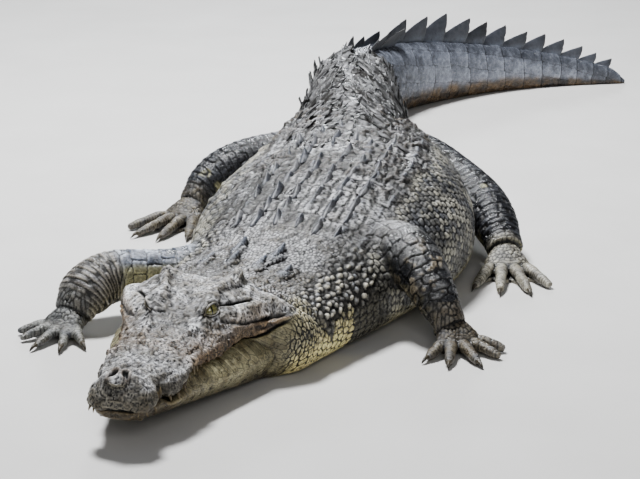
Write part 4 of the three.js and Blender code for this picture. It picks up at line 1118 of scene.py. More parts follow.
# ridges from the eyes down the snout; hollow between the eyes; raised edge of the skull table
rl = .052 + (.088 - .052) * smooth(.36, .66, t)
h += isup * 6.0 * np.exp(-((ao - rl) * 648 / 8) ** 2) * smooth(.34, .46, t) * (1 - smooth(.60, .68, t)) * (1 + .8 * pn)
h -= topw * 5.0 * np.exp(-(X / 19) ** 2) * smooth(.62, .72, t) * (1 - smooth(.90, .99, t))
rim_o = np.interp(t, [.74, .81, .87, .93, .98], [.074, .090, .112, .134, .140])
table = smooth(.76, .83, t) * (1 - smooth(.985, 1.01, t)) * (up > .30)
h += isup * table * 6.5 * (.75 + 1.4 * rn + .8 * pn) * np.exp(-((ao - rim_o) * 648 / 8.5) ** 2)
h -= isup * table * 6.0 * np.exp(-((ao - rim_o - .034) * 648 / 9.0) ** 2)
# painted shade in the groove inside the table's rim
dark += isup * table * .55 * np.exp(-((ao - rim_o - .034) * 648 / 7.0) ** 2)
h += isup * 7.5 * (1 + pn) * np.exp(-(((t - .965) * 600) ** 2 + ((ao - .135) * 648) ** 2) / 12 ** 2) * (up > .31)
# ear slit below the table's edge, with its flap
slit_up = np.interp(t, [.73, .79, .85, .90], [.311, .308, .303, .300])
edge = (up - slit_up) * 600
slit = np.exp(-(edge / 2.6) ** 2) * smooth(.745, .765, t) * (1 - smooth(.855, .885, t)) * (ao > .11)
flap_e = np.exp(-((edge - 7) / 4.5) ** 2) * smooth(.74, .77, t) * (1 - smooth(.87, .91, t)) * (ao > .11)
h += isup * (3.6 * flap_e - 9 * slit)
# painted shade inside the ear slit
dark += isup * slit * 1.6
# the bar of the cheek swells over the furrow that runs back to the jaw joint
swell = smooth(.70, .78, t) * (1 - smooth(.97, 1.01, t)) * (ao > .14)
h += isup * swell * (7.0 + 5 * qn) * np.exp(-((fz - 24) / 19) ** 2)
sulc = np.exp(-(np.where(fz > 0, fz / 8.0, fz / 4.5)) ** 2) * smooth(.64, .72, t) * (1 - smooth(.985, 1.01, t)) * (ao > .10)
h -= isup * sulc * 6.5
# painted shade darkens the furrow
dark += isup * sulc * (.55 + .6 * pn)
# the line of the mouth, and the folded skin at its corner
line_c = dz + gap * 300
shut = np.clip(smooth(.42, .50, t) + (1 - smooth(.105, .14, t)), 0, 1)
ends = 1 - smooth(.905, .925, t)
wave = 1.2 * np.sin(Yt / 9.5) * smooth(.42, .5, t)
seam = np.exp(-((line_c + wave) / 2.7) ** 2) * shut * ends
seam = seam * (.35 + .65 * smooth(.05, .13, t))
h -= 7.5 * seam
# painted shade along the closed mouth line
dark += 1.2 * seam
# painted shade in the open gap between the jaws at the front
slot = (1 - shut) * smooth(-gap * 600 - 3, -gap * 600 + 1, dz) * (1 - smooth(-1, 2, dz))
dark += slot * 1.3
between = np.clip(dz / np.maximum((furrow - mouth) * 600, 4), 0, 1)
corner = smooth(.78, .83, t) * (1 - smooth(.915, .955, t)) * np.sin(np.clip(between, 0, 1) * math.pi) ** .7 * (dz > 0) * (fz < 0)
fold = np.sin(Yt / 6.6 + dz * .22 + 1.2 * pn)
h += corner * (7.0 + 1.5 * fold)
upper_lip = np.exp(-((dz - 8) / 8) ** 2) * smooth(.36, .46, t) * (1 - smooth(.80, .86, t))
h += 3.4 * upper_lip * isup * (1 + .5 * pn)
low_lip = np.exp(-((line_c + 9) / 7) ** 2) * smooth(.12, .2, t) * ends
h += 2.8 * low_lip * (1 - isup)
# fine soft scales of the lower jaw, in rows
e4, r4, lu4, lv4 = cells(Yt / 19 + .3 * bn, (p[:, 2] + .55 * X) / 12, .55, .5, 65, 2.4)
jp = smooth(.02, .22, e4)
low_w = 1 - isup
h += low_w * (.45 * jp - .3 + 1.6 * rn + .9 * pn)
dark += low_w * ((1 - jp) * .10 + .35 * np.clip(-pn - .1, 0, 1))
dark = np.clip(dark, 0, 1)
patch = np.clip(.45 + .9 * pn + .6 * qn, 0, 1)
one = np.ones((len(idx), 3))
wet = smooth(.02, .30, fbm(p, 26, 109, 3) + .25 * pn)
c_top = mixc(mixc(MUD * 1.02 * one, srgb(104, 100, 93), smooth(.15, .85, patch) * .9), PIT * .8, np.clip(1.0 * np.clip(-pn, 0, 1) + .8 * np.clip(-fn_ - .1, 0, 1), 0, .9))
c_top = mixc(c_top, srgb(80, 76, 69), wet * .70)
c_side = mixc(srgb(112, 108, 100) * one, srgb(64, 60, 54), np.clip(.40 + .9 * pn + .4 * qn, 0, 1))
c_side = mixc(c_side, mixc(srgb(150, 151, 156) * one, srgb(84, 84, 88), np.clip(.3 + 1.1 * pn + .6 * qn, 0, 1)), smooth(.70, .78, t) * smooth(0, 8, fz) * .95)
c = mixc(c_side, c_top, np.clip(smooth(.02, .55, nz + .2 * rn), 0, 1))
# brown hide between the mouth and the furrow, strongest at the lip
tan_band = smooth(.30, .42, t) * (1 - smooth(.84, .92, t)) * np.clip(1 - dz / 62, 0, 1) ** .7 * (dz > -1)
c = mixc(c, mixc(srgb(138, 118, 94) * one, srgb(78, 60, 42), np.clip(.5 + 1.4 * pn, 0, 1)), np.clip(tan_band * 1.0, 0, .80))
c = mixc(c, mixc(srgb(124, 106, 84) * one, srgb(62, 48, 36), np.clip(.45 - .7 * fold + .8 * pn, 0, 1)), np.clip(corner * 1.2, 0, .92))
c = mixc(c, srgb(92, 82, 74), np.clip(rimn * up_n * .7, 0, 1))
front = 1 - smooth(.13, .24, t)
c = mixc(c, mixc(srgb(110, 106, 94) * one, srgb(66, 60, 48), patch), front * (1 - smooth(.30, .8, nz)) * .7)
c_jaw = mixc(srgb(150, 144, 116) * one, srgb(98, 88, 62), np.clip(.32 + .8 * rn + .5 * qn + .3 * (r4 - .5), 0, 1))
c_jaw = mixc(c_jaw, srgb(62, 51, 37), np.clip(.75 * (1 - smooth(.14, .55, t)) + .3 * (1 - smooth(.05, .16, t)) + .55 * np.clip(-pn, 0, 1) + .45 * smooth(75, 5, p[:, 2]), 0, .88))
c = mixc(c_jaw, c, isup)
# paler hide behind the eyes, and a painted highlight on the convex bar of the cheek above the furrow
c = c * (1 + (.22 * smooth(.70, .78, t) + .70 * smooth(.64, .72, t) * smooth(.10, .13, ao) * (1 - smooth(.285, .315, up))) * smooth(0, 8, fz) * isup)[:, None]
c = mixc(c, GROOVE * .45, dark * .95)
rough = .42 - .04 * (1 - isup) + .14 * patch - .10 * upper_lip
paint(idx, w_head[idx], h, c, rough)

# the bar of the cheek ends bluntly, with a fold of the neck behind it
wide_ = smooth(.20, .25, np.abs(L["out"])) * (P[:, 1] < 760)
H += 6 * wide_ * np.exp(-((L["t"] - .955) * 600 / 22) ** 2 - ((L["up"] - .238) * 600 / 14) ** 2)
H += 11 * wide_ * np.exp(-((L["t"] - .968) * 600 / 21) ** 2 - ((L["up"] - .280) * 600 / 15) ** 2)
behind_ = (L["t"] - 1.030) * 600 + (L["up"] - .25) * 260
H -= 8 * wide_ * np.exp(-(behind_ / 11) ** 2) * smooth(.13, .19, L["up"]) * (1 - smooth(.30, .34, L["up"]))

# near the eyes the hide is smoother
for k in (1, -1):
    C = head_point(EYE["t"], EYE["out"] * k, EYE["up"])
    dist = np.linalg.norm(P - C, axis=1)
    H *= .25 + .75 * smooth(28, 56, dist)

COL /= np.maximum(WSUM, 1e-3)[:, None]
H /= np.maximum(WSUM, 1)
# pressed flat where it lies on the ground
H *= smooth(-.5, 9, P[:, 2])
P2 = P + N * H[:, None]


# ---- eyes: hide drawn back round each ball, with a heavy upper lid and a baggy lower one
E = edges_of(Q, n)
EYES = []
for k in (1, -1):
    C = head_point(EYE["t"], EYE["out"] * k, EYE["up"])
    g = head_vector(.50, .70 * k, .40)                  # the way the lids open
    look = head_vector(.66, .55 * k, .36)               # the way the eye looks
    e1 = head_vector(1, 0, -.10); e1 = e1 - g * (e1 @ g); e1 /= np.linalg.norm(e1)
    e2 = np.cross(g, e1); e2 = e2 if e2[2] > 0 else -e2
    EYES.append((C, look, k))
    rel = P2 - C
    dist = np.linalg.norm(rel, axis=1)
    ix = np.nonzero(dist < 72)[0]
    u = rel[ix] / (dist[ix, None] + 1e-9)
    ang = np.degrees(np.arccos(np.clip(u @ g, -1, 1)))
    az = np.arctan2(u @ e2, u @ e1)
    a_, b_ = ang * np.cos(az), ang * np.sin(az)
    span = np.clip(1 - (np.abs(a_) / 56) ** 2.2, 0, 1)
    wide_open = 1.0 if k > 0 else -.12
    upb, lob = 27 * wide_open * span ** .80 - 1, -29 * wide_open * span ** .85 - 1
    q = np.maximum(np.maximum(b_ - upb, lob - b_), (np.abs(a_) - 56) * .9)
    upper_side = smooth(-10, 12, b_)
    rim = EYE["r"] + 2.6 + 2.6 * upper_side
    creases = -(1.8 + .8 * upper_side) * np.cos((q - 8.5) / 8.0 * math.pi) * np.exp(-((q - 10) / 10) ** 2)
    brow = 5.0 * upper_side * np.exp(-((q - 24) / 9) ** 2)
    sharp = smooth(-3.5, .5, q)
    target = EYE["r"] * .80 * (1 - sharp) + (rim + creases + brow) * sharp
    blend_ = (1 - smooth(12, 46, q)) * (ang < 140)
    pull = dist[ix] - target
    most = 70 - 58 * smooth(1, 16, q)
    pull = np.where(pull > 0, most * (1 - np.exp(-np.clip(pull, 0, None) / most)), pull)
    new = dist[ix] - pull * blend_
    P2[ix] = C + u * new[:, None]
    ease = np.zeros(n)
    ease[ix] = smooth(8, 18, q) * (1 - smooth(44, 71, dist[ix])) * .8
    P2 = relax(P2, E, ease, 9)
    fresh = np.zeros(n)
    fresh[ix] = noise3(P[ix], 7, 77) * 1.2 + noise3(P[ix], 15, 78) * 2.4
    P2 += N * (ease * fresh)[:, None]
    shade = (1 - smooth(-2, 2.4, q)) + .75 * np.exp(-((q - 8.5) / 2.2) ** 2) + .50 * np.exp(-((q - 17) / 3) ** 2)
    shade = shade + .5 * np.clip(noise3(P[ix], 7, 79), 0, 1) * (1 - smooth(20, 40, q))
    COL[ix] = mixc(COL[ix], GROOVE * .5, np.clip(shade, 0, 1) * .88 * (ang < 110))
    if k < 0:
        # round the closed right eye, dents darkened as painted shade
        pit_ = smooth(-.10, .40, noise3(P[ix], 9, 80)) * np.exp(-(dist[ix] / 46) ** 4)
        COL[ix] = mixc(COL[ix], GROOVE, pit_ * .80)
        P2[ix] -= N[ix] * (1.3 * pit_)[:, None]
    lidc = np.exp(-((q - 4.2) / 2.4) ** 2) * (ang < 110)
    COL[ix] = mixc(COL[ix], srgb(118, 108, 84), lidc * .65)
P2[:, 2] = np.maximum(P2[:, 2], 0)

# painted shade in the hollows and a painted highlight on the crests, taken from the relief
for rounds, size, relief_shading_gain in ((3, .45, .95), (14, 1.3, .85)):
    soft = relax(P2, E, np.full(n, 1.0), rounds)
    high = ((P2 - soft) * N).sum(1) / size
    relief_shading_gain = relief_shading_gain * (1 - .65 * smooth(2950, 3150, L["s"]) * w_body)
    COL *= np.maximum(1 + relief_shading_gain * np.clip(high, -1, .55), .10)[:, None]
COL *= (1 - .17 * np.clip(total_leg, 0, 1))[:, None]
# pale and dark are pushed further apart round their local mean, deepening the painted shade of the hollows along with
# the hide's own patches
lum = COL.mean(1) + .004
around = np.tile(lum[:, None], (1, 3))
around = relax(around, E, np.full(n, 1.0), 30)[:, 0]
power = .70 * w_head + w_body * (1 - smooth(2950, 3200, L["s"])) * (.95 - .65 * smooth(200, 300, L["v"]))
COL *= (np.clip(lum / around, .25, 1.06) ** power)[:, None]
mottle = fbm(P, 95, 211, 3)
COL *= (1 + (w_head * .25 + w_body * .50 * (1 - smooth(2950, 3200, L["s"])) * (1 - .6 * smooth(200, 300, L["v"]))) * np.clip(mottle * 1.6 + .02, -.8, .35))[:, None]
print("displaced", float(np.abs(H).max()))

# ------------------------------------------------------------------ colours onto the mesh
def attribute(me, name, values, kind="FLOAT_COLOR"):
    a = me.attributes.new(name, kind, "POINT")
    if kind == "FLOAT_COLOR":
        v = np.ones((len(values), 4), np.float32)
        v[:, :values.shape[1]] = values
        a.data.foreach_set("color", v.ravel())
    else:
        a.data.foreach_set("value", np.ascontiguousarray(values, np.float32))


def set_uv(me, uv):
    layer = me.uv_layers.new(name="OFBake")
    layer.data.foreach_set("uv", np.ascontiguousarray(uv, np.float32).ravel())


def shade_smooth(me):
    me.polygons.foreach_set("use_smooth", np.ones(len(me.polygons), bool))


skin_me = mesh_from("skin", (P2 - ORIGIN) / 1000, flat, starts, totals)
attribute(skin_me, "hide_colour", np.clip(COL, 0, 1))
attribute(skin_me, "hide_rough", np.clip(ROUGH, .16, .95), "FLOAT")
shade_smooth(skin_me)

# unwrap: the head, the body, each leg and the two faces of each foot as flat charts
fidx = np.repeat(np.arange(len(starts)), totals)
part = np.zeros(n, int)                                   # 0 body, 1 head, 2-5 legs, 6-9 feet
best = w_body.copy()
part[w_head > best] = 1; best = np.maximum(best, w_head)
for k, name in enumerate(LEGS):
    for off, wt in ((2, w_leg[name]), (6, w_foot[name])):
        m = wt > best
        part[m] = off + k
        best = np.maximum(best, wt)
fpart = part[flat[starts]]
lp = fpart[fidx]
uv = np.zeros((len(flat), 2))
fN = np.zeros((len(starts), 3))
np.add.at(fN, fidx, N[flat])
# body
m = lp == 0
u_, v_ = L["s"][flat], (L["v"] * L["side"])[flat]
full = 2 * girth(L["s"], np.full(n, math.pi))[flat]
lo = np.minimum.reduceat(v_, starts)[fidx]; hi = np.maximum.reduceat(v_, starts)[fidx]
v_ = np.where((hi - lo > full * .5) & (v_ < 0), v_ + full, v_)
uv[m] = np.stack([.005 + (u_[m] - 440) / 4100 * .985, .78 + v_[m] / 4100 * .46], -1)
# head
m = lp == 1
ang = np.arctan2(L["out"], -(L["up"] - .14))[flat] * -1
ang = np.where(ang < 0, ang + 2 * math.pi, ang)           # seam under the throat
lo = np.minimum.reduceat(ang, starts)[fidx]; hi = np.maximum.reduceat(ang, starts)[fidx]
ang = np.where((hi - lo > math.pi) & (ang < math.pi), ang + 2 * math.pi, ang)
uv[m] = np.stack([.01 + (L["t"][flat][m] + .05) * .30, .02 + ang[m] / (2 * math.pi) * .50], -1)
# legs
for k, name in enumerate(LEGS):
    ix, s, phi, d, rad = near_leg[name]
    S_, A_ = np.zeros(n), np.zeros(n)
    S_[ix] = s
    A_[ix] = np.mod(phi + math.pi / 2, 2 * math.pi)
    m = lp == 2 + k
    a = A_[flat]
    lo = np.minimum.reduceat(a, starts)[fidx]; hi = np.maximum.reduceat(a, starts)[fidx]
    a = np.where((hi - lo > math.pi) & (a < math.pi), a + 2 * math.pi, a)
    uv[m] = np.stack([.37 + (S_[flat][m] + 40) / 760 * .19, .02 + .128 * k + a[m] / (2 * math.pi) * .118], -1)
    m = lp == 6 + k
    h = math.radians(LEGS[name]["hand"]["heading"])
    at = LEGS[name]["hand"]["at"]
    q = P[flat][:, :2] - at
    al = q[:, 0] * math.sin(h) - q[:, 1] * math.cos(h)
    ac = q[:, 0] * math.cos(h) + q[:, 1] * math.sin(h)
    under = (fN[:, 2] < 0)[fidx]
    x0 = np.where(under, .79, .58)
    uv[m] = np.stack([x0[m] + (al[m] + 60) / 420 * .19, .084 + .128 * k + ac[m] / 420 * .12], -1)
set_uv(skin_me, np.clip(uv, 0.001, .999))
skin = link("skin", skin_me)


# ------------------------------------------------------------------ materials
def material(name):
    m = bpy.data.materials.new(name)
    m.use_nodes = True
    t = m.node_tree
    t.nodes.clear()
    out = t.nodes.new("ShaderNodeOutputMaterial")
    b = t.nodes.new("ShaderNodeBsdfPrincipled")
    t.links.new(b.outputs[0], out.inputs[0])
    return m, t, b


def node(t, kind, **sets):
    nd = t.nodes.new(kind)
    for k, v in sets.items():
        if k.startswith("_"):
            nd.inputs[int(k[1:])].default_value = v
        elif k in nd.inputs:
            nd.inputs[k].default_value = v
        else:
            setattr(nd, k, v)
    return nd


def math_node(t, op, a, b=None):
    nd = t.nodes.new("ShaderNodeMath"); nd.operation = op
    for i, x in enumerate((a, b)):
        if x is None:
            continue
        if isinstance(x, (int, float)):
            nd.inputs[i].default_value = x
        else:
            t.links.new(x, nd.inputs[i])
    return nd.outputs[0]


def ramp(t, fac, stops):
    r = t.nodes.new("ShaderNodeValToRGB")
    el = r.color_ramp.elements
    while len(el) < len(stops):
        el.new(.5)
    for e, (pos, c) in zip(el, stops):
        e.position = pos
        e.color = (*c, 1) if not isinstance(c, (int, float)) else (c, c, c, 1)
    t.links.new(fac, r.inputs[0])
    return r.outputs[0]


def mix_rgb(t, mode, fac, a, b):
    nd = t.nodes.new("ShaderNodeMix"); nd.data_type = "RGBA"; nd.blend_type = mode
    for sock, x in ((nd.inputs[0], fac), (nd.inputs[6], a), (nd.inputs[7], b)):
        if isinstance(x, (int, float)):
            sock.default_value = x
        elif isinstance(x, (tuple, list, np.ndarray)):
            sock.default_value = (*x[:3], 1)
        else:
            t.links.new(x, sock)
    return nd.outputs[2]


def noise_tex(t, co, scale, detail=4, rough=.55):
    nd = node(t, "ShaderNodeTexNoise", Scale=scale, Detail=detail, Roughness=rough)
    t.links.new(co, nd.inputs["Vector"])
    return nd.outputs[0]


def bump(t, height, strength, distance, prev=None):
    b = node(t, "ShaderNodeBump", Strength=strength, Distance=distance)
    t.links.new(height, b.inputs["Height"])
    if prev is not None:
        t.links.new(prev, b.inputs["Normal"])
    return b.outputs[0]


def hide_material():
    m, t, b = material("hide")
    co = t.nodes.new("ShaderNodeTexCoord").outputs["Object"]
    col = node(t, "ShaderNodeAttribute", attribute_name="hide_colour").outputs["Color"]
    rgh = node(t, "ShaderNodeAttribute", attribute_name="hide_rough").outputs["Fac"]
    n1 = noise_tex(t, co, 55, 6, .6)
    n2 = noise_tex(t, co, 260, 5, .65)
    n3 = noise_tex(t, co, 11, 4, .5)
    tone = ramp(t, n1, [(.30, .52), (.52, 1.0), (.72, 1.26)])
    c = mix_rgb(t, "MULTIPLY", .85, col, tone)
    fine = ramp(t, n2, [(.32, .50), (.50, 1.0), (.70, 1.22)])
    c = mix_rgb(t, "MULTIPLY", .75, c, fine)
    # dried flecks and dark specks of silt
    v = node(t, "ShaderNodeTexVoronoi", Scale=210)
    t.links.new(co, v.inputs["Vector"])
    speck = ramp(t, v.outputs["Distance"], [(.10, 1.0), (.24, 0.0)])
    where = ramp(t, n3, [(.45, 0.0), (.62, 1.0)])
    c = mix_rgb(t, "MIX", math_node(t, "MULTIPLY", math_node(t, "MULTIPLY", speck, where), .55), c, (.045, .038, .030))
    t.links.new(c, b.inputs["Base Color"])
    r = math_node(t, "ADD", math_node(t, "SUBTRACT", rgh, .06), math_node(t, "MULTIPLY", math_node(t, "SUBTRACT", n1, .5), 1.1))
    r = math_node(t, "ADD", r, math_node(t, "MULTIPLY", math_node(t, "SUBTRACT", n2, .5), .22))
    r = math_node(t, "MAXIMUM", math_node(t, "MINIMUM", r, .96), .14)
    t.links.new(r, b.inputs["Roughness"])
    b.inputs["Specular IOR Level"].default_value = .62
    # pores and fine wrinkles, and grit where the hide is dull
    v2 = node(t, "ShaderNodeTexVoronoi", Scale=330)
    t.links.new(co, v2.inputs["Vector"])
    b1 = bump(t, v2.outputs["Distance"], .35, .0012)
    b2 = bump(t, n2, .70, .0020, b1)
    b3 = bump(t, n1, .85, .0062, b2)
    t.links.new(b3, b.inputs["Normal"])
    return m


def plate_material(name, base, light, rough, scale=60.0, spec=.5):
    m, t, b = material(name)
    co = t.nodes.new("ShaderNodeTexCoord").outputs["Object"]
    col = node(t, "ShaderNodeAttribute", attribute_name="hide_colour").outputs["Color"]
    n1 = noise_tex(t, co, scale, 6, .6)
    n2 = noise_tex(t, co, scale * 5, 4, .6)
    tone = ramp(t, n1, [(.30, base), (.70, light)])
    c = mix_rgb(t, "MULTIPLY", 1.0, col, tone)
    c = mix_rgb(t, "MULTIPLY", .6, c, ramp(t, n2, [(.3, .72), (.55, 1.0), (.75, 1.12)]))
    t.links.new(c, b.inputs["Base Color"])
    t.links.new(ramp(t, n1, [(.3, rough[0]), (.7, rough[1])]), b.inputs["Roughness"])
    b.inputs["Specular IOR Level"].default_value = spec
    t.links.new(bump(t, n2, .45, .0012, bump(t, n1, .5, .003)), b.inputs["Normal"])
    return m


HIDE = hide_material()
FLAP = plate_material("crest_plate", (.62, .62, .62), (1.15, 1.15, 1.15), (.26, .52), 55)
ENAMEL = plate_material("tooth_enamel", (.72, .68, .60), (1.05, 1.05, 1.0), (.22, .45), 90)
HORN = plate_material("claw_horn", (.70, .70, .70), (1.2, 1.2, 1.2), (.24, .42), 110)
skin.data.materials.append(HIDE)


# ------------------------------------------------------------------ crest flaps along the tail
def gather(parts):
    """joins (vertices, quads, colours, uv per face corner) into one mesh's arrays"""
    v, f, c, uvs, k = [], [], [], [], 0
    for a, b_, col, u in parts:
        v.append(a); f.append(b_ + k); c.append(col); uvs.append(u); k += len(a)
    return np.vstack(v), np.vstack(f), np.vstack(c), np.vstack(uvs)


def ring_mesh(R, col):
    """closed mesh of a stack of rings whose last ring has drawn in to a point"""
    r, k, _ = R.shape
    i, j = np.meshgrid(np.arange(r - 1), np.arange(k), indexing="ij")
    a, b_ = i * k + j, i * k + (j + 1) % k
    quads = np.stack([a, b_, b_ + k, a + k], -1).reshape(-1, 4)
    uv = np.stack([np.stack([(j + dj) / k, (i + di) / (r - 1)], -1) for di, dj in ((0, 0), (0, 1), (1, 1), (1, 0))], -2)
    ends = []
    for row in (0, r - 1):
        q = np.array([[row * k + (x % k) for x in (m_, m_ + 1, k - m_ - 2, k - m_ - 1)] for m_ in range(k // 2 - 1)])
        q = q if row else q[:, ::-1]
        ends.append(q)
    f = np.vstack([quads] + ends)
    uv = np.vstack([uv.reshape(-1, 4, 2)] + [np.full((len(e), 4, 2), .5) for e in ends])
    return R.reshape(-1, 3), f, col.reshape(-1, 3), uv.reshape(-1, 2)


def flap(s, out, height, length, lean, seed, muddy):
    """one swept-back leaf: slanting leading edge, hollow trailing edge, broad rounded tip, flared root"""
    rows, k = 22, 32
    z0 = float(back_height(s, min(abs(out), .8 * float(station[0](s)))))
    rg = np.random.default_rng(seed)
    height *= .86 + .17 * rg.random() - .25 * muddy * rg.random()
    length *= .94 + .14 * rg.random()
    lean += rg.uniform(-.06, .06)
    notch, bite = rg.uniform(.45, .8), rg.uniform(.0, .03) + .08 * muddy
    a = np.linspace(0, 2 * math.pi, k, endpoint=False)
    ca, sa = np.cos(a), np.sin(a)
    rings, cols = [], []
    tone = rg.random()
    for i in range(rows):
        f = i / (rows - 1)
        front = -.50 * length + .86 * length * f ** 1.85
        back_ = .37 * length + .27 * length * f ** .8
        back_ -= bite * length * math.exp(-((f - notch) / .08) ** 2)
        closing = max(1 - f ** 3.6, 0) ** .52
        mid_, half_ = (front + back_) / 2, max((back_ - front) / 2 * closing, .5)
        thick = (5.4 * (1 - f) ** .7 + 1.5) * (.55 + height / 170) * max(closing, .12) + 9.0 * max(0, 1 - f / .22) ** 2 * min(1, height / 60)
        x = mid_ + half_ * np.sign(ca) * np.abs(ca) ** .85
        lead = np.clip(-ca, 0, 1)
        y = thick * np.sign(sa) * np.abs(sa) ** .9 * (1 - .30 * np.clip(ca, 0, 1) ** 2)
        o = out + 5.0 * x / length + lean * (f ** 1.2) * height + y + 2.6 * math.sin(f * 2.4 + seed) * f * np.sin(x / length * 2.2 + seed)
        q, tt = spine.point(s + x), spine.tangent(s + x)
        up = -16 + (height * math.cos(min(abs(lean), 1.2) * .8) + 16) * f
        rings.append(np.stack([q[:, 0] + tt[:, 1] * o, q[:, 1] - tt[:, 0] * o, np.full(k, z0) + up - 2.0 * lead * f], -1))
        base = srgb(52, 54, 60) + (srgb(100, 104, 114) - srgb(52, 54, 60)) * (.15 + .5 * tone)
        wear = np.clip(np.abs(ca) ** 8, 0, 1)[:, None] * .40 + .30 * float(smooth(.75, 1, f))
        base = base + (srgb(120, 126, 138) - base) * (1 - float(smooth(.18, .50, f))) * .75 * (1 - muddy)
        c = base[None, :] * (1 - .25 * (1 - float(smooth(0, .12, f)))) * (1 + .12 * np.sin(x / length * 9)[:, None])
        c = c + (srgb(140, 132, 118) - c) * wear * .5
        c = c * (.50 + .50 * float(smooth(3180, 3640, s)))
        c = c + (MUD * .92 - c) * muddy * (.55 + .4 * rg.random())
        cols.append(c)
    return ring_mesh(np.array(rings), np.array(cols))


flaps = []
k = 0
for ring_no in range(-22, 16):
    s0, s1 = float(whorl_start(ring_no)), float(whorl_start(ring_no + 1))
    if s0 < 2120 or s0 > 4362:
        continue
    ln = (s1 - s0) * 1.50
    s = (s0 + s1) / 2
    hgt = float(crest_height(s + .2 * ln))
    muddy = float(1 - smooth(2900, 3180, s))
    if s < CREST_DOUBLE_TO:
        w = float(station[0](s))
        side = min(72 - 40 * float(smooth(2110, 3300, s)), w * .72)
        for sg in (1, -1):
            lean = sg * (.12 + .45 * float(smooth(2950, 3150, s)) * (sg > 0))
            flaps.append(flap(s, sg * side, hgt * (1 if sg > 0 or s < 3150 else .55), ln, lean, 100 + k, muddy)); k += 1
    else:
        flaps.append(flap(s, 0, hgt, ln, .04 * math.sin(ring_no * 2.3), 100 + k, 0.0)); k += 1
fv, ff, fc_, fu = gather(flaps)


# ------------------------------------------------------------------ keels of the back and ragged scutes of the tail's root
on_body = np.nonzero((w_body > .85) & (L["s"] > 860) & (L["s"] < 3150) & (L["v"] < 235) & (N[:, 2] > .1))[0]
body_s, body_v = L["s"][on_body], L["v"][on_body] * L["side"][on_body]


SPLAY = 1.0


def scute(s0, v0, length, width, rise, turn, seed, ragged, muddy):
    """one raised scute: a sharp keel rising rearwards, or a ragged leaf lifted off the hide"""
    near = np.argmin((body_s - s0) ** 2 + (body_v - v0) ** 2)
    j = on_body[near]
    if math.hypot(body_s[near] - s0, body_v[near] - v0) > 12:
        return None
    rg = np.random.default_rng(seed)
    B, up = P[j], N[j] / np.linalg.norm(N[j])
    T = np.append(spine.tangent(s0)[:2], 0.0)
    T = T - up * (T @ up); T /= np.linalg.norm(T)
    W = np.cross(up, T)
    T, W = T * math.cos(turn) + W * math.sin(turn), W * math.cos(turn) - T * math.sin(turn)
    rows, k = 15, 14
    a = np.linspace(0, 2 * math.pi, k, endpoint=False)
    ca, sa = np.cos(a), np.sin(a)
    rings, cols = [], []
    phase, tone = rg.uniform(0, 6.3, 4), rg.random()
    for i in range(rows):
        f = i / (rows - 1)
        along = length * (f - .45)
        if ragged:
            half_ = max(width / 2 * (1 - f ** 2.0) ** .72 * (.62 + .38 * smooth(0, .3, f)) * (1 + .20 * math.sin(7 * f + phase[0])), .3)
            edge_ = 1 + .13 * np.sin(3 * a + phase[1] + 6 * f)
            zc = -7 + (rise + 7) * f ** .8
            thick = 4.2 * (1 - f) ** .8 + .8
            across = half_ * ca * edge_ + 2.5 * math.sin(4 * f + phase[2])
            z = zc + thick * sa - .10 * half_ * ca ** 2 + 1.3 * np.sin(9 * f + 2.5 * ca + phase[3]) * f
            ahead = along + 3.5 * np.sin(2 * a + phase[1]) * f
        else:
            hgt_ = rise * min(1, (f / .72) ** 1.3) * (1 - float(smooth(.74, 1.0, f)))
            half_ = max(width / 2 * (math.sin(math.pi * min(max(f, 0), 1) ** .85) ** .55), .3)
            across = half_ * np.sign(ca) * np.abs(ca) ** (1.0 + .8 * (sa > 0)) + 1.5 * math.sin(3 * f + phase[2])
            z = np.where(sa > 0, (hgt_ + 4) * np.abs(sa) ** 1.25 * (1 + .10 * math.sin(11 * f + phase[0])), 8 * sa)
            ahead = along + 0 * a + .22 * np.where(sa > 0, hgt_, 0) * sa
        rings.append(B + ahead[:, None] * T + across[:, None] * W + z[:, None] * up)
        dirt = np.clip(muddy * (.75 + .5 * np.sin(5 * f + 2 * ca + phase[1])), 0, 1)
        base = srgb(66, 69, 77) * (.75 + .5 * tone) if not ragged else srgb(42, 40, 37) * (.7 + .5 * tone)
        # painted light: the upper side of each scute is painted lighter and its underside darker
        c = base[None, :] * (.55 + .75 * np.clip(sa, -.4, 1)[:, None])
        c = c + (MUD * (.50 + .30 * tone) - c) * (dirt * np.clip(sa + .35, 0, 1))[:, None]
        # painted shadow: the ragged leaves darken towards their rims and their raised tip
        if ragged:
            c = c * (1 - .55 * np.abs(ca) ** 5)[:, None] * (1 - .45 * f ** 5)
        cols.append(c)
    return ring_mesh(np.array(rings), np.array(cols))


